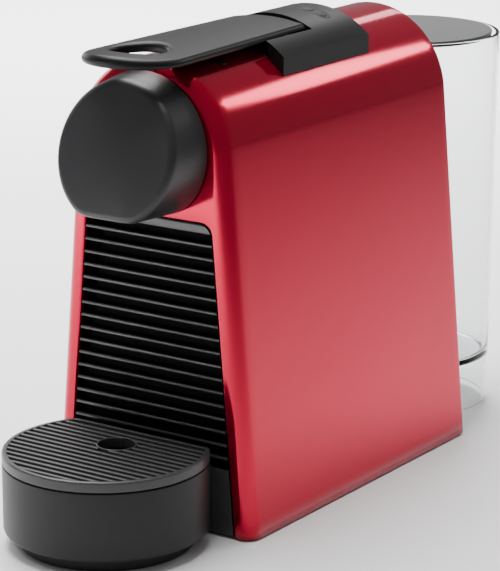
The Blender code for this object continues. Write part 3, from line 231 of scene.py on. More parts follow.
def boardGreen():
    finish = Finish("boardGreen")
    tracks = finish.node("ShaderNodeTexBrick", {}, {"Vector": finish.place(), "Scale": 260.0,
                                                    "Mortar Size": 0.03}, "Fac")
    finish.set(Base_Color=finish.mixColour(tracks, (0.012, 0.11, 0.035), (0.03, 0.22, 0.08)),
               Roughness=0.3 + 0.2 * tracks)
    return finish.material


def milkyHose():
    finish = Finish("milkyHose")
    cloud = finish.noise(200.0, 3.0)
    finish.set(Base_Color=finish.mixColour(cloud, (0.70, 0.70, 0.67), (0.82, 0.82, 0.80)),
               Roughness=0.35 + 0.1 * cloud)
    return finish.material


def paleFloor():
    finish = Finish("paleFloor")
    cloud = finish.noise(1.5, 2.0)
    finish.set(Base_Color=finish.mixColour(cloud, (0.90, 0.90, 0.90), (0.92, 0.92, 0.92)),
               Roughness=0.55 + 0.1 * cloud)
    return finish.material


looks = {
    "red": glossRed(),
    "satin": blackPlastic("satinBlack", (0.006, 0.006, 0.0067), 0.38, 2300.0, 0.000025, 0.20),
    "nose": blackPlastic("noseBlack", (0.018, 0.018, 0.0195), 0.38, 2600.0, 0.00002, 0.40),
    "ribs": ribPlasticPaintedShade(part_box("container_front")[0][1]),
    "matt": blackPlastic("mattBlack", (0.010, 0.010, 0.011), 0.60, 1500.0, 0.00004, 0.25),
    "tray": blackPlastic("trayBlack", (0.013, 0.013, 0.0145), 0.42, 1900.0, 0.00003, 0.28),
    "grid": blackPlastic("gridBlack", (0.040, 0.040, 0.042), 0.36, 1900.0, 0.00002, 0.42),
    "clear": clearPlastic(),
    "lid": lidPlastic(),
    "rubber": softRubber(),
    "inner": innerPlastic(),
    "steel": brushedMetal("brightSteel", (0.62, 0.62, 0.63), 0.18, (1.0, 0.05, 1.0)),
    "aluminium": brushedMetal("castAluminium", (0.68, 0.68, 0.70), 0.42, (1.0, 1.0, 1.0)),
    "board": boardGreen(),
    "hose": milkyHose(),
}
print("finishes made:", len(looks))


# mesh helpers: every shape is an array of points on a grid of two parameters

def makePiece(name, points, faces, look, body, replaced=(), angle=35.0):
    mesh = bpy.data.meshes.new(name)
    mesh.from_pydata(np.asarray(points, float).reshape(-1, 3).tolist(), [], faces)
    work = bmesh.new()
    work.from_mesh(mesh)
    bmesh.ops.remove_doubles(work, verts=work.verts, dist=1e-6)
    bmesh.ops.recalc_face_normals(work, faces=work.faces)
    work.to_mesh(mesh)
    work.free()
    mesh.shade_smooth()
    mesh.set_sharp_from_angle(angle=radians(angle))
    piece = bpy.data.objects.new(name, mesh)
    bpy.context.scene.collection.objects.link(piece)
    mesh.materials.append(looks[look])
    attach(piece, body)
    if replaced:
        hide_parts(*replaced)
    return piece


def gridFaces(rows, columns, wrapRows=False, wrapColumns=False, start=0):
    # quads between neighbouring rows and columns of a grid of points
    r, c = np.meshgrid(np.arange(rows - (not wrapRows)), np.arange(columns - (not wrapColumns)), indexing="ij")
    r2, c2 = (r + 1) % rows, (c + 1) % columns
    quads = np.stack([r * columns + c, r * columns + c2, r2 * columns + c2, r2 * columns + c], -1)
    return quads.reshape(-1, 4) + start


def loft(name, points, look, body, replaced=(), caps=(True, True), wrapRows=False,
         angle=35.0):
    # rings of points joined row by row; a capped end is closed by a fan to the ring's middle
    rows, columns = points.shape[:2]
    faces = gridFaces(rows, columns, wrapRows, True).tolist()
    flat = [points.reshape(-1, 3)]
    count = rows * columns
    if not wrapRows:
        for row, wanted in zip((0, rows - 1), caps):
            if wanted:
                first = np.arange(columns) + row * columns
                faces += np.stack([first, np.roll(first, -1), np.full(columns, count)], -1).tolist()
                flat.append(points[row].mean(0)[None])
                count += 1
    return makePiece(name, np.concatenate(flat), faces, look, body, replaced, angle)


def roundPath(corners, radii, steps=6, closed=False):
    # a line through corners, each rounded by a quadratic curve that starts its radius before the corner
    corners = np.array(corners, float)
    t = np.linspace(0, 1, steps + 1)[:, None]
    run = []
    for i, corner in enumerate(corners):
        if not closed and i in (0, len(corners) - 1):
            run.append(corner[None])
            continue
        before, after = corners[i - 1] - corner, corners[(i + 1) % len(corners)] - corner
        lengths = np.linalg.norm(before), np.linalg.norm(after)
        reach = min(radii[i], 0.49 * lengths[0], 0.49 * lengths[1])
        a, b = corner + before / lengths[0] * reach, corner + after / lengths[1] * reach
        run.append((1 - t) ** 2 * a + 2 * t * (1 - t) * corner + t ** 2 * b if reach > 0 else corner[None])
    return np.concatenate(run)


def evenly(path, count, closed=False):
    # the same line with its points at equal distances
    if closed:
        path = np.vstack([path, path[:1]])
    along = np.concatenate([[0], np.cumsum(np.linalg.norm(np.diff(path, axis=0), axis=1))])
    places = np.linspace(0, along[-1], count + 1)[:-1] if closed else np.linspace(0, along[-1], count)
    return np.stack([np.interp(places, along, path[:, k]) for k in range(path.shape[1])], -1)


def turnedRings(profile, centre, axis, count=96):
    # a profile of radius and height carried round an axis
    angle = np.linspace(0, 2 * pi, count, endpoint=False)
    radius, height = profile[:, :1], profile[:, 1:2] + 0 * angle
    a, b = radius * np.cos(angle), radius * np.sin(angle)
    order = {"X": (height, a, b), "Y": (b, height, a), "Z": (a, b, height)}[axis]
    return np.stack(order, -1) + np.array(centre)


def boxSlab(name, xs, ys, hole, topOf, bottomOf, look, body, replaced=(), bevel=0.8 * mm):
    # a slab over a grid in X and Y with some cells left out: its top and bottom are heights over the grid
    gx, gy = np.meshgrid(xs, ys, indexing="ij")
    top = np.stack([gx, gy, topOf(gx, gy)], -1).reshape(-1, 3)
    low = np.stack([gx, gy, bottomOf(gx, gy)], -1).reshape(-1, 3)
    count = len(top)
    nx, ny = len(xs), len(ys)
    cx, cy = np.meshgrid((xs[1:] + xs[:-1]) / 2, (ys[1:] + ys[:-1]) / 2, indexing="ij")
    kept = ~hole(cx, cy)
    index = np.arange(count).reshape(nx, ny)
    quad = np.stack([index[:-1, :-1], index[1:, :-1], index[1:, 1:], index[:-1, 1:]], -1)
    faces = [quad[kept], quad[kept][:, ::-1] + count]
    padded = np.pad(kept, 1)
    for shift, first, second in (((-1, 0), index[:-1, :-1], index[:-1, 1:]),
                                 ((1, 0), index[1:, 1:], index[1:, :-1]),
                                 ((0, -1), index[1:, :-1], index[:-1, :-1]),
                                 ((0, 1), index[:-1, 1:], index[1:, 1:])):
        beyond = padded[1 + shift[0]:nx + shift[0], 1 + shift[1]:ny + shift[1]]
        edge = kept & ~beyond
        a, b = first[edge], second[edge]
        faces.append(np.stack([a, b, b + count, a + count], -1))
    faces = np.concatenate(faces).tolist()
    piece = makePiece(name, np.concatenate([top, low]), faces, look, body, replaced, 30.0)
    edges = piece.modifiers.new("edges", "BEVEL")
    edges.width, edges.segments, edges.limit_method, edges.angle_limit = bevel, 3, "ANGLE", radians(40)
    edges.harden_normals = True
    return piece


# places that several pieces share, read from the frame

def low(node): return np.array(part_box(node)[0])
def high(node): return np.array(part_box(node)[1])


shellFront, shellBack = low("body_shell")[1], high("body_shell")[1]
shellBottom, shellTop = low("body_shell")[2], high("body_shell")[2]
arch = {"radius": 38.77 * mm, "flare": radians(4.91)}
arch["z"] = shellTop - arch["radius"]


def sideAt(height, radius):
    return (radius - (height - arch["z"]) * sin(arch["flare"])) / cos(arch["flare"])


# shell: an open arch that flares towards the table

shellSizes = {"frontEdge": 6.5 * mm, "backEdge": 1.4 * mm, "wall": 2.2 * mm, "margin": 9.0 * mm,
              "panelTop": 134.0 * mm,
              "panelCorner": 5.5 * mm, "lip": 0.8 * mm, "lipDepth": 4.5 * mm,
              "flangeHalf": 18.6 * mm, "slotHalf": 14.6 * mm, "slotFront": -60.2 * mm, "flangeBack": -57.8 * mm,
              "slotBack": -32.5 * mm,
              "wellHalf": 20.4 * mm, "wellFront": -17.5 * mm, "wellBack": 4.3 * mm,
              "gearHalf": 5.0 * mm, "gearFront": -30.6 * mm, "gearBack": 11.5 * mm}


def archRow(radius, sides, angles):
    # right side upwards, over the arch, left side down; sides are shares of the straight stretch
    end = np.array([radius * cos(arch["flare"]), arch["z"] + radius * sin(arch["flare"])])
    foot = np.array([sideAt(shellBottom, radius), shellBottom])
    straight = foot + sides[:, None] * (end - foot)
    over = np.stack([radius * np.cos(angles), arch["z"] + radius * np.sin(angles)], -1)
    return np.concatenate([straight, over, straight[::-1] * [-1, 1]])


def panelRow(offset, sides, angles):
    # the panel opening's edge, moved outwards by offset, with as many points as an arch row
    size = shellSizes
    top, corner = size["panelTop"] + offset, size["panelCorner"] + offset
    foot = np.array([sideAt(shellBottom, arch["radius"]) - size["margin"] + offset, shellBottom])
    end = np.array([sideAt(top - corner, arch["radius"]) - size["margin"] + offset, top - corner])
    straight = foot + sides[:, None] * (end - foot)
    turn = np.linspace(0, pi / 2, 12)
    bend = np.stack([end[0] - corner + corner * np.cos(turn), end[1] + corner * np.sin(turn)], -1)
    over = evenly(np.concatenate([bend, bend[::-1] * [-1, 1]]), 400)
    share = (angles - angles[0]) / (angles[-1] - angles[0])
    over = np.stack([np.interp(share, np.linspace(0, 1, 400), over[:, k]) for k in range(2)], -1)
    return np.concatenate([straight, over, straight[::-1] * [-1, 1]])


def shellSurface():
    # arch outlines in rows from back to front, rounded by quarter circles, then the face in to the opening
    size = shellSizes
    radius, flare = arch["radius"], arch["flare"]
    sides = np.linspace(0, 1, 25)[:-1]
    breaks = [acos(size[k] / radius) for k in ("flangeHalf", "slotHalf", "wellHalf", "gearHalf")]
    angles = np.concatenate([np.linspace(flare, pi - flare, 97), breaks, [pi - b for b in breaks]])
    angles = np.sort(angles)
    turn = np.linspace(0, pi / 2, 10)
    cuts = ("slotFront", "flangeBack", "slotBack", "wellFront", "wellBack", "gearFront", "gearBack")
    ys = np.linspace(shellBack - size["backEdge"], shellFront + size["frontEdge"], 40)
    ys = np.sort(np.concatenate([ys, [size[k] for k in cuts]]))[::-1]
    edge = size["backEdge"]
    rows = [(size["wall"] + edge, shellBack)]
    rows += [(edge * (1 - sin(a)), shellBack - edge * (1 - cos(a))) for a in turn[:-1]]
    rows += [(0.0, y) for y in ys]
    edge = size["frontEdge"]
    rows += [(edge * (1 - cos(a)), shellFront + edge * (1 - sin(a))) for a in turn[1:]]
    outer = []
    for inset, y in rows:
        row = archRow(radius - inset, sides, angles)
        outer.append(np.stack([row[:, 0], np.full(len(row), y), row[:, 1]], -1))
    rim = outer[-1]
    lip = size["lip"]
    inner = panelRow(lip, sides, angles)
    inner = np.stack([inner[:, 0], np.full(len(inner), shellFront), inner[:, 1]], -1)
    face = [rim + (inner - rim) * t for t in np.linspace(0, 1, 9)[1:]]
    returns = [(lip * (1 - sin(a)), shellFront + lip * (1 - cos(a))) for a in turn[1::2]]
    returns.append((0.0, shellFront + size["lipDepth"]))
    back = []
    for offset, y in returns:
        row = panelRow(offset, sides, angles)
        back.append(np.stack([row[:, 0], np.full(len(row), y), row[:, 1]], -1))
    points = np.stack(outer + face + back)
    faces = gridFaces(*points.shape[:2])
    middle = points.reshape(-1, 3)[faces].mean(1)
    x, y, z = np.abs(middle[:, 0]), middle[:, 1], middle[:, 2]
    onTop = z > arch["z"] + 0.5 * radius
    flange = (x < size["flangeHalf"]) & (y > size["slotFront"]) & (y < size["flangeBack"])
    slot = flange | (x < size["slotHalf"]) & (y > size["slotFront"]) & (y < size["slotBack"])
    well = (x < size["wellHalf"]) & (y > size["wellFront"]) & (y < size["wellBack"])
    gear = (x < size["gearHalf"]) & (y > size["gearFront"]) & (y < size["gearBack"])
    faces = faces[~(onTop & (slot | well | gear))]
    faces = faces[:, ::-1].tolist()
    shell = makePiece("shell", points, faces, "red", "housing", ["body_shell"], 60.0)
    wall = shell.modifiers.new("wall", "SOLIDIFY")
    wall.thickness, wall.offset = size["wall"], -1.0


shellSurface()
print("shell made")


# trim round the capsule slot, seen when the lever is up

slotSizes = {"rim": 0.6 * mm, "proud": 0.2 * mm, "depth": 16.0 * mm, "corner": 1.2 * mm}


def slotTrim():
    # the slot's T outline, grown or shrunk along a profile and draped over the arch
    size = slotSizes
    names = ("flangeHalf", "slotHalf", "slotFront", "flangeBack", "slotBack")
    flange, half, front, middle, back = (shellSizes[k] for k in names)
    profile = [(size["rim"], -0.3 * mm), (size["rim"], size["proud"]), (-0.2 * mm, size["proud"]),
               (-0.5 * mm, -0.4 * mm),
               (-0.6 * mm, -size["depth"]), (0.2 * mm, -size["depth"])]
    rings = []
    for grow, drop in roundPath(profile, [0, 0.2 * mm, 0.3 * mm, 0.3 * mm, 0, 0], 4):
        right = [(flange + grow, front - grow), (flange + grow, middle + grow),
                 (half + grow, middle + grow), (half + grow, back + grow)]
        corners = right + [(-x, y) for x, y in right[::-1]]
        ring = evenly(roundPath(corners, [size["corner"]] * 8, 6, True), 200, True)
        height = arch["z"] + np.sqrt(arch["radius"] ** 2 - ring[:, 0] ** 2) + drop
        rings.append(np.stack([ring[:, 0], ring[:, 1], height], -1))
    loft("slotTrim", np.stack(rings), "matt", "housing", (), (False, False), True)


slotTrim()


# hinge cover: an arched slab with a notch for the lever

coverSizes = {"radius": 44.0 * mm, "notchHalf": 20.55 * mm, "notchBack": 3.9 * mm, "seatGap": 0.35 * mm,
              "edge": 0.9 * mm}


def coverSurface():
    size = coverSizes
    (x0, y0, _), (x1, y1, crest) = low("hinge_cover"), high("hinge_cover")
    centre = crest - size["radius"]
    seat = arch["radius"] + size["seatGap"]
    xs = np.unique(np.concatenate([np.linspace(x0, x1, 61), [-size["notchHalf"], size["notchHalf"]]]))
    ys = np.unique(np.concatenate([np.linspace(y0, y1, 21), [size["notchBack"]]]))

    # the top is a circle about the arch's line, and the underside rests on the shell's own circle
    def topOf(x, y): return centre + np.sqrt(size["radius"] ** 2 - x ** 2)
    def seatOf(x, y): return arch["z"] + np.sqrt(seat ** 2 - x ** 2)
    def notch(x, y): return (np.abs(x) < size["notchHalf"]) & (y < size["notchBack"])

    boxSlab("hingeCover", xs, ys, notch, topOf, seatOf, "satin", "housing", ["hinge_cover"],
            size["edge"])
    return topOf


coverTop = coverSurface()


# lever: a crowned plate with a round tip, a finger hole and a hub on the pin

leverSizes = {"tipRadius": 22.7 * mm, "rearHalf": 19.0 * mm, "rearCorner": 1.5 * mm, "crest": 205.0 * mm,
              "edgeTop": 202.8 * mm,
              "edgeBottom": 199.3 * mm, "topRound": 2.6 * mm, "bottomRound": 1.9 * mm, "tipDrop": 1.3 * mm,
              "holeY": -92.5 * mm,
              "holeRadius": 11.5 * mm, "dish": 3.0 * mm, "dishDrop": 2.0 * mm, "heelRound": 2.2 * mm,
              "holeUnderRound": 0.8 * mm, "bottomRise": 1.2 * mm,
              "hubBore": 1.56 * mm, "hubRadius": 4.2 * mm, "hubRound": 0.5 * mm}


def leverOutline(count):
    # straight tapering sides, tangent to a round tip
    size = leverSizes
    y0, y1 = low("lever")[1], high("lever")[1]
    tip = y0 + size["tipRadius"]
    lean = np.arcsin((size["tipRadius"] - size["rearHalf"]) / (y1 - tip))
    turn = np.linspace(lean, -pi - lean, 120)
    tipArc = np.stack([size["tipRadius"] * np.cos(turn), tip + size["tipRadius"] * np.sin(turn)], -1)
    corner = roundPath([tipArc[0], (size["rearHalf"], y1), (-size["rearHalf"], y1), tipArc[-1]],
                       [0, size["rearCorner"], size["rearCorner"], 0], 6)
    path = evenly(np.concatenate([tipArc, corner[::-1][1:-1]]), count, True)
    along = np.roll(path, -1, 0) - np.roll(path, 1, 0)
    along /= np.linalg.norm(along, axis=1)[:, None]
    inward = np.stack([along[:, 1], -along[:, 0]], -1)
    if ((path + inward * mm) ** 2).sum() > (path ** 2).sum() and (inward[0, 0] > 0) == (path[0, 0] > 0):
        inward = -inward
    return path, inward


def leverSurface():
    # rings run from the finger hole over the top, round the edge and back underneath; the crown is a parabola
    size = leverSizes
    path, inward = leverOutline(280)
    hole = np.array([0.0, size["holeY"]])
    spread = path - hole
    around = spread / np.linalg.norm(spread, axis=1)[:, None]
    crownRadius = size["rearHalf"] ** 2 / (2 * (size["crest"] - size["edgeTop"]))
    rear = high("lever")[1]

    tipY = low("lever")[1] + size["tipRadius"]

    def dropOf(xy): return size["tipDrop"] * np.clip((tipY - xy[:, 1]) / size["tipRadius"], 0, 1) ** 2

    def topOf(xy):
        heel = np.clip((xy[:, 1] - (rear - size["heelRound"])) / size["heelRound"], 0, 1)
        crown = size["crest"] - xy[:, 0] ** 2 / (2 * crownRadius) - 0.6 * dropOf(xy)
        return crown - size["heelRound"] * (1 - np.sqrt(1 - 0.98 * heel ** 2)) * 0.5

    def bottomOf(xy):
        return size["edgeBottom"] + size["bottomRise"] - xy[:, 0] ** 2 / (3.2 * crownRadius) - dropOf(xy)

    def ring(xy, z): return np.concatenate([xy, z[:, None]], 1)
    turn = np.linspace(0, pi / 2, 9)
    rings = []
    for a in turn:                                         # dished edge of the finger hole
        xy = hole + around * (size["holeRadius"] + size["dish"] * (1 - cos(a)))
        rings.append(ring(xy, topOf(xy) - size["dishDrop"] * (1 - sin(a))))
    inner = hole + around * (size["holeRadius"] + size["dish"])
    outer = path + inward * size["topRound"]
    for t in np.linspace(0, 1, 22)[1:]:                    # crowned top
        xy = inner + (outer - inner) * t
        rings.append(ring(xy, topOf(xy)))
    for a in turn[1:]:                                     # round outer edge, top then bottom
        xy = path + inward * size["topRound"] * (1 - sin(a))
        rings.append(ring(xy, topOf(outer) - size["topRound"] * (1 - cos(a))))
    for a in turn[::-1]:
        xy = path + inward * size["bottomRound"] * (1 - sin(a))
        rings.append(ring(xy, bottomOf(xy) + size["bottomRound"] * (1 - cos(a))))
    outer = path + inward * size["bottomRound"]
    under = size["holeUnderRound"]
    inner = hole + around * (size["holeRadius"] + under)
    for t in np.linspace(0, 1, 12)[1:]:
        xy = outer + (inner - outer) * t
        rings.append(ring(xy, bottomOf(xy)))
    for a in turn[1::2]:
        xy = hole + around * (size["holeRadius"] + under * (1 - sin(a)))
        rings.append(ring(xy, bottomOf(xy) + under * (1 - cos(a))))
    loft("lever", np.stack(rings), "satin", "lever", ["lever"], (False, False), True, 50.0)
    half, bore, radius = size["rearHalf"], size["hubBore"], size["hubRadius"]
    hub = roundPath([(bore, -half), (radius, -half), (radius, half), (bore, half)],
                    [0, size["hubRound"], size["hubRound"], 0], 4)
    pin = (low("lever_pin") + high("lever_pin")) / 2
    loft("leverHub", turnedRings(hub, (0, pin[1], pin[2]), "X", 48), "matt", "lever", (),
         (False, False), True)


leverSurface()
print("cover and lever made")


# nose: the round head over the tray

noseSizes = {"z": 163.3 * mm, "backRadius": 31.3 * mm, "frontRadius": 29.65 * mm, "midY": -110.5 * mm,
             "slant": radians(15),
             "bottom": 136.8 * mm, "edge": 3.4 * mm, "dome": 1.3 * mm, "power": 34.0, "backEdge": 1.0 * mm}


def noseSurface():
    # a cone round Y whose outline is cut flat below and whose face leans back towards the top
    size = noseSizes
    angle = np.linspace(0, 2 * pi, 200, endpoint=False)
    back = high("nose_cover")[1]

    def outline(radius):
        drop = (size["z"] - size["bottom"]) / np.maximum(-np.sin(angle), 1e-3)
        r = (radius ** -size["power"] + drop ** -size["power"]) ** (-1 / size["power"])
        return np.stack([r * np.cos(angle), size["z"] + r * np.sin(angle)], -1)

    def faceY(z): return size["midY"] + tan(size["slant"]) * (z - size["z"])
    front = outline(size["frontRadius"])
    rim = faceY(front[:, 1])
    edge = size["edge"]
    rings = []
    for s in np.concatenate([[0], np.linspace(0.03, 1, 16)]):
        share = s * (back - (rim + edge)) / (back - (rim + edge)).max()
        shape = outline(size["backRadius"]) * (1 - s) + front * s
        inset = size["backEdge"] * (1 - sqrt(1 - (1 - s / 0.03) ** 2)) if s < 0.03 else 0.0
        y = back + (rim + edge - back) * s
        rings.append(np.stack([shape[:, 0] * (1 - inset / size["backRadius"]), y,
                               size["z"] + (shape[:, 1] - size["z"]) * (1 - inset / size["backRadius"])], -1))
    inward = np.stack([-front[:, 0], size["z"] - front[:, 1]], -1)
    inward /= np.linalg.norm(inward, axis=1)[:, None]
    for a in np.linspace(pi / 2, 0, 10)[1:]:
        shape = front + inward * edge * (1 - sin(a))
        rings.append(np.stack([shape[:, 0], faceY(shape[:, 1]) + edge * (1 - cos(a)), shape[:, 1]], -1))
    rimRing = front + inward * edge
    middle = np.array([0, size["z"]])
    for t in np.linspace(1, 0.02, 24)[1:]:
        shape = middle + (rimRing - middle) * t
        rings.append(np.stack([shape[:, 0], faceY(shape[:, 1]) - size["dome"] * (1 - t * t), shape[:, 1]], -1))
    loft("nose", np.stack(rings), "nose", "housing", ["nose_cover"], (True, True), False, 50.0)


noseSurface()


# ribbed front of the capsule container

panelSizes = {"ribTop": 125.4 * mm, "pitch": 5.62 * mm, "ribHeight": 1.3 * mm, "count": 17, "depth": 3.6 * mm,
              "round": 0.45 * mm,
              "gap": 0.5 * mm}


def ribbedPanel():
    # the rib profile in Y and Z, carried across X as wide as the opening is at each height
    size = panelSizes
    front, back = low("container_front")[1], high("container_front")[1]
    bottom, top = low("container_front")[2], high("container_front")[2]
    root = front + size["depth"]
    rib = np.array([(root, size["pitch"] - size["ribHeight"]), (root, 0.0), (front, 0.0),
                    (front, -size["ribHeight"])])
    levels = size["ribTop"] - np.arange(size["count"]) * size["pitch"]
    comb = (rib[None] + np.stack([0 * levels, levels], -1)[:, None]).reshape(-1, 2)
    last = levels[-1] - size["ribHeight"]
    lower = last - size["pitch"] + size["ribHeight"]
    corners = np.concatenate([[(back, top), (front, top)], [(front, comb[0, 1])], comb,
                              [(root, last), (root, lower), (front, lower), (front, bottom), (back, bottom)]])
    radii = [0, 0.8 * mm] + [size["round"]] * (len(corners) - 4) + [0.4 * mm, 0]
    profile = roundPath(corners, radii, 3)
    dense = evenly(profile, 900)
    opening, corner = shellSizes["panelTop"] - size["gap"], shellSizes["panelCorner"]
    z = dense[:, 1]
    over = np.clip(z - (opening - corner), 0, corner * 0.999)
    bend = corner - np.sqrt(corner ** 2 - over ** 2)
    half = sideAt(z, arch["radius"]) - shellSizes["margin"] - size["gap"] - bend
    across = np.concatenate([[-1], np.linspace(-0.985, 0.985, 15), [1]])
    points = np.stack([half[:, None] * across, dense[:, :1] + 0 * across, z[:, None] + 0 * across], -1)
    rows, columns = points.shape[:2]
    faces = gridFaces(rows, columns, True, False).tolist()
    faces += [(np.arange(rows) * columns).tolist(), (np.arange(rows) * columns + columns - 1).tolist()]
    makePiece("ribbedPanel", points, faces, "ribs", "container", ["container_front"], 40.0)


ribbedPanel()
print("nose and ribbed panel made")


# drip tray and its grid

traySizes = {"radius": 43.15 * mm, "y": -117.9 * mm, "flat": 24.9 * mm, "power": 60.0, "parting": 36.3 * mm,
             "bottom": 6.2 * mm,
             "baseRadius": 36.6 * mm, "wall": 2.2 * mm, "floor": 10.2 * mm, "rim": 2.2 * mm, "pitch": 4.1 * mm,
             "slat": 2.0 * mm,
             "drainY": -110.5 * mm, "drainRadius": 7.8 * mm, "drainRim": 1.0 * mm,
             "hookHalf": 22 * mm, "hookLow": 12 * mm, "hookHigh": 30 * mm}


def cutCircle(inset, radius, flat, power, side, count=220):
    # a circle cut by a straight chord, its corners softened by a power mean; inset moves the whole line inwards
    angle = np.linspace(0, 2 * pi, count, endpoint=False)
    toward = np.maximum(side * np.sin(angle), 1e-3)
    r = ((radius - inset) ** -power + ((flat - inset) / toward) ** -power) ** (-1 / power)
    return np.stack([r * np.cos(angle), r * np.sin(angle)], -1)


def trayCup():
    size = traySizes
    foot = low("drip_tray_cup")[2]
    base = size["radius"] - size["baseRadius"]
    parting = size["parting"] - 0.45 * mm
    corners = [(base + 3 * mm, foot + 1.2 * mm), (base + 3 * mm, foot), (base, foot), (base, size["bottom"]),
               (0, size["bottom"]), (0, parting),
               (size["wall"], parting), (size["wall"], size["floor"]), (30 * mm, size["floor"])]
    profile = roundPath(corners, [0, 0.4 * mm, 0.8 * mm, 1.5 * mm, 2.6 * mm, 0.6 * mm, 0.6 * mm, 3 * mm, 0], 6)
    rings = []
    for inset, z in profile:
        deep = min(inset, size["flat"] - 3 * mm)
        ring = cutCircle(0, size["radius"] - inset, size["flat"] - deep, size["power"], 1)
        rings.append(np.stack([ring[:, 0], ring[:, 1] + size["y"], np.full(len(ring), z)], -1))
    loft("dripTray", np.stack(rings), "tray", "tray", ["drip_tray_cup"], (True, True), False,
         40.0)
    (x0, _, _), (_, y1, _) = low("drip_tray_cup"), high("drip_tray_cup")
    flatY = size["y"] + size["flat"]
    hook = size["hookHalf"]
    boxSlab("trayHook", np.array([-hook, 0, hook]), np.array([flatY - 0.8 * mm, y1]), lambda x, y: x > 1,
            lambda x, y: 0 * x + size["hookHigh"], lambda x, y: 0 * x + size["hookLow"], "tray", "tray")


def joinedLoops(shapes):
    # several lofts in one mesh: points are stacked and faces renumbered
    points, faces, start = [], [], 0
    for rings, capped in shapes:
        rows, columns = rings.shape[:2]
        wrap = not capped
        faces += gridFaces(rows, columns, wrap, True, start).tolist()
        if capped:
            faces += [(np.arange(columns) + start).tolist(),
                      (np.arange(columns) + start + (rows - 1) * columns).tolist()]
        points.append(rings.reshape(-1, 3))
        start += rows * columns
    return np.concatenate(points), faces


def gridSurface():
    # rim, drain boss, and slats whose ends run into them
    size = traySizes
    z0, z1 = low("drip_grid")[2], high("drip_grid")[2]
    shapes = []
    section = roundPath([(0, z0), (0, z1), (size["rim"], z1), (size["rim"], z0)],
                        [0.5 * mm, 1.1 * mm, 0.5 * mm, 0.3 * mm], 5, True)
    rings = []
    for inset, z in section:
        ring = cutCircle(0, size["radius"] - inset, size["flat"] - inset, size["power"], 1)
        rings.append(np.stack([ring[:, 0], ring[:, 1] + size["y"], np.full(len(ring), z)], -1))
    shapes.append((np.stack(rings), False))
    r0, r1 = size["drainRadius"], size["drainRadius"] + size["drainRim"]
    top = z1 - 0.15 * mm
    section = roundPath([(r0, z0), (r1, z0), (r1, top), (r0, top)],
                        [0.2 * mm, 0.2 * mm, 0.5 * mm, 0.9 * mm], 5, True)
    shapes.append((turnedRings(section, (0, size["drainY"], 0), "Z", 72), False))
    inside = size["radius"] - size["rim"] + 0.5 * mm
    back = size["y"] + size["flat"] - size["rim"]
    ys = back - size["pitch"] * np.arange(1, 40) + (size["pitch"] - size["slat"]) / 2 - 0.25 * mm
    boss = (r0 + r1) / 2
    for y in ys[ys > size["y"] - inside + 2 * mm]:
        reach = sqrt(inside ** 2 - (y - size["y"]) ** 2)
        near = abs(y - size["drainY"])
        clear = sqrt(boss ** 2 - min(near, r0) ** 2)
        spans = [(-reach, reach)] if near >= r1 else [(-reach, -clear), (clear, reach)]
        half, slatTop = size["slat"] / 2, z1 - 0.25 * mm
        section = roundPath([(y - half, z0), (y + half, z0), (y + half, slatTop), (y - half, slatTop)],
                            [0.2 * mm, 0.2 * mm, 0.5 * mm, 0.5 * mm], 3, True)
        for start, end in spans:
            ends = [np.column_stack([np.full(len(section), x), section]) for x in (start, end)]
            shapes.append((np.stack(ends), True))
    points, faces = joinedLoops(shapes)
    makePiece("dripGrid", points, faces, "grid", "grid", ["drip_grid"], 40.0)


trayCup()
gridSurface()
print("drip tray made")


# water tank and its lid

tankSizes = {"y": 119.0 * mm, "top": 42.1 * mm, "foot": 40.0 * mm, "flat": 30.4 * mm, "wall": 1.8 * mm,
             "floor": 27.0 * mm,
             "power": 46.0, "lidMargin": 3.4 * mm, "lidDepth": 2.6 * mm, "lidPlate": 1.5 * mm}


def tankRing(inset, z):
    size = tankSizes
    z0, z1 = low("tank")[2], high("tank")[2]
    radius = size["foot"] + (z - z0) / (z1 - z0) * (size["top"] - size["foot"])
    deep = min(inset, size["flat"] - 3 * mm)
    ring = cutCircle(0, radius - inset, size["flat"] - deep, size["power"], -1)
    return np.stack([ring[:, 0], ring[:, 1] + size["y"], np.full(len(ring), z)], -1)


def tankBody():
    size = tankSizes
    z0, z1 = low("tank")[2], high("tank")[2]
    wall, floor = size["wall"], size["floor"]
    corners = [(30 * mm, floor), (wall, floor), (wall, z1), (0, z1), (0, z0), (wall, z0), (wall, floor - wall),
               (30 * mm, floor - wall)]
    profile = roundPath(corners, [0, 3.5 * mm, 0.7 * mm, 0.7 * mm, 0.7 * mm, 0.7 * mm, 1.5 * mm, 0], 6)
    dense = []
    for a, b in zip(profile[:-1], profile[1:]):
        steps = max(1, int(np.linalg.norm(b - a) / (12 * mm)))
        dense += [a + (b - a) * k / steps for k in range(steps)]
    dense.append(profile[-1])
    loft("tank", np.stack([tankRing(inset, z) for inset, z in dense]), "clear", "tank", ["tank"],
         (True, True), False, 50.0)


def tankLid():
    size = tankSizes
    z1 = high("tank_lid")[2]
    margin = size["lidMargin"]
    skirt = [(margin + 2 * mm, z1 - size["lidDepth"]), (margin + 0.2 * mm, z1 - size["lidDepth"]),
             (margin + 0.2 * mm, z1 - 0.9 * mm), (margin + 2 * mm, z1 - 0.9 * mm)]
    profile = roundPath(skirt, [0.3 * mm] * 4, 4, True)
    rings = np.stack([tankRing(inset, z) for inset, z in profile])
    loft("lidSkirt", rings, "matt", "lid", ["tank_lid"], (False, False), True, 50.0)
    under = z1 - size["lidPlate"]
    plate = [(28 * mm, under), (margin, under), (margin, z1), (margin + 6 * mm, z1 - 0.1 * mm),
             (28 * mm, z1 - 0.15 * mm)]
    profile = roundPath(plate, [0, 0.4 * mm, 0.7 * mm, 0.5 * mm, 0], 5)
    rings = np.stack([tankRing(inset, z) for inset, z in profile])
    loft("lidPlate", rings, "lid", "lid", (), (True, True), False, 50.0)


tankBody()
tankLid()
print("tank made")


# buttons in their window on the cover

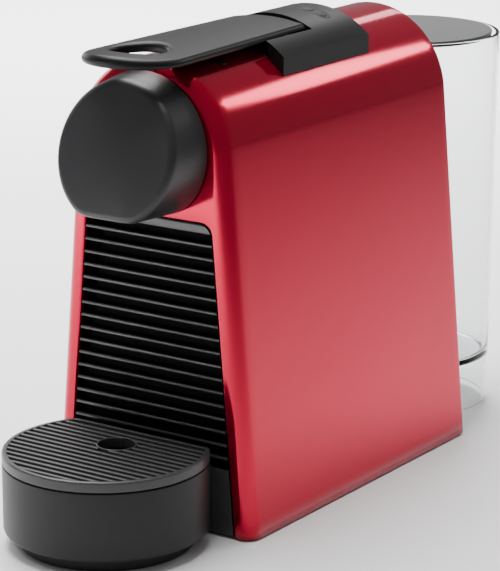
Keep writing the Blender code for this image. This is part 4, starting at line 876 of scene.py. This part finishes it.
buttonSizes = {"spacing": 6.8 * mm, "length": 6.0 * mm, "width": 5.0 * mm, "rim": 0.9 * mm}


def pillRing(length, width, count=72):
    reach = (length - width) / 2
    turn = np.linspace(-pi / 2, pi / 2, 30)
    right = np.stack([reach + width / 2 * np.cos(turn), width / 2 * np.sin(turn)], -1)
    return evenly(np.concatenate([right, -right]), count, True)


def buttonWindow():
    size = buttonSizes
    places = {name: (low(name) + high(name)) / 2 for name in ("button_1", "button_2")}
    middle = (places["button_1"] + places["button_2"]) / 2
    length, width = size["spacing"] + size["length"] + 1.0 * mm, size["width"] + 1.0 * mm
    rings = []
    for grow, rise in roundPath([(size["rim"], -0.6 * mm), (size["rim"], 0.12 * mm), (0, 0.12 * mm),
                                 (-0.1 * mm, -0.9 * mm)],
                                [0, 0.25 * mm, 0.2 * mm, 0], 4):
        ring = pillRing(length + 2 * grow, width + 2 * grow) + middle[:2]
        rings.append(np.stack([ring[:, 0], ring[:, 1], coverTop(ring[:, 0], ring[:, 1]) + rise], -1))
    ring = pillRing(length * 0.5, width * 0.2) + middle[:2]
    rings.append(np.stack([ring[:, 0], ring[:, 1], coverTop(ring[:, 0], ring[:, 1]) + 0.03 * mm], -1))
    loft("buttonWindow", np.stack(rings), "matt", "housing", (), (False, True), False, 50.0)
    for name, body in (("button_1", "button_left"), ("button_2", "button_right")):
        rings = []
        profile = roundPath([(0, -2.6 * mm), (0, 0.25 * mm), (-2.4 * mm, 0.35 * mm)], [0, 0.5 * mm, 0], 5)
        for grow, rise in profile:
            ring = pillRing(size["length"] + 2 * grow, size["width"] + 2 * grow, 60) + places[name][:2]
            rings.append(np.stack([ring[:, 0], ring[:, 1], coverTop(ring[:, 0], ring[:, 1]) + rise], -1))
        loft("cap_" + name, np.stack(rings), "matt", body, (), (True, True), False, 50.0)


buttonWindow()


# CAD nodes that keep their shape get their finish

kept = {
    "matt": ["rear_panel", "base_plate", "outlet_spout", "tank_dock", "bay_wall", "guide_rail_left",
             "guide_rail_right",
             "capsule_container", "button_1", "button_2"],
    "rubber": ["foot_1", "foot_2", "foot_3", "foot_4", "dock_seal", "pump_mount_1", "pump_mount_2",
               "mains_inlet"],
    "inner": ["brew_frame", "brew_head", "capsule_cage", "cage_rack", "idler_gear", "lever_gear", "flow_meter",
              "tank_valve",
              "valve_cage"],
    "steel": ["piercing_plate", "lever_pin", "idler_pin", "button_spring_1", "button_spring_2", "valve_spring",
              "pump",
              "panel_screw_1", "panel_screw_2", "panel_screw_3", "panel_screw_4"],
    "board": ["control_board"],
    "aluminium": ["thermoblock"],
    "hose": ["tank_hose", "meter_hose", "pressure_hose", "cage_hose"],
}
for look, names in kept.items():
    for name in names:
        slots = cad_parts[name].data.materials
        slots.clear()
        slots.append(looks[look])
print("kept nodes finished")


# floor, light and camera

studio = {"floor": 6.0, "world": 0.28,
          "lamps": [("overhead", (-0.2, 0.0, 1.0), (-0.15, 0.0, 0.0), (0.7, 0.7), 12.0, 140),
                    ("behind", (-0.8, 0.95, 1.1), (-0.75, 0.9, 0.0), (0.9, 0.9), 30.0, 110),
                    ("frontLeft", (-0.62, -0.80, 0.9), (-0.62, -0.80, 0.0), (0.6, 0.6), 14.0, 80),
                    ("backRight", (0.578, 1.232, 0.84), (0.03, 0.0, 0.18), (0.28, 0.24), 2.0, 180),
                    ("left", (-1.6, 0.55, 0.46), (0.0, -0.05, 0.19), (1.1, 0.6), 5.0, 180),
                    ("backHigh", (-0.40, 1.33, 1.02), (0.0, 0.0, 0.19), (0.16, 0.42), 0.9, 180)]}


def buildStudio():
    half = studio["floor"]
    points = np.array([(-half, -half, 0), (half, -half, 0), (half, half, 0), (-half, half, 0)])
    mesh = bpy.data.meshes.new("floor")
    mesh.from_pydata(points.tolist(), [], [(0, 1, 2, 3)])
    floor = bpy.data.objects.new("floor", mesh)
    bpy.context.scene.collection.objects.link(floor)
    mesh.materials.append(paleFloor())
    for name, place, aim, size, power, spread in studio["lamps"]:
        lamp = bpy.data.lights.new(name, "AREA")
        lamp.shape, lamp.size, lamp.size_y, lamp.energy = "RECTANGLE", *size, power
        lamp.spread = radians(spread)
        holder = bpy.data.objects.new(name, lamp)
        holder.location = place
        holder.rotation_euler = (Vector(aim) - Vector(place)).to_track_quat("-Z", "Y").to_euler()
        bpy.context.scene.collection.objects.link(holder)
    world = bpy.data.worlds.new("studio")
    world.use_nodes = True
    world.node_tree.nodes["Background"].inputs["Color"].default_value = (1, 1, 1, 1)
    world.node_tree.nodes["Background"].inputs["Strength"].default_value = studio["world"]
    bpy.context.scene.world = world


cameraPlace = {"turn": radians(34.68), "rise": radians(15.38), "target": (18.29 * mm, -39.71 * mm, 95.53 * mm),
               "distance": 1114.05 * mm, "lens": 164.17}


def placeCamera():
    size = cameraPlace
    away = Vector((sin(size["turn"]) * cos(size["rise"]), -cos(size["turn"]) * cos(size["rise"]),
                   sin(size["rise"])))
    camera = bpy.data.objects.new("camera", bpy.data.cameras.new("camera"))
    camera.data.lens, camera.data.sensor_width = size["lens"], 36.0
    camera.location = Vector(size["target"]) + away * size["distance"]
    camera.rotation_euler = (-away).to_track_quat("-Z", "Y").to_euler()
    bpy.context.scene.collection.objects.link(camera)
    bpy.context.scene.camera = camera


buildStudio()
placeCamera()
bpy.context.view_layer.update()
print("scene ready")
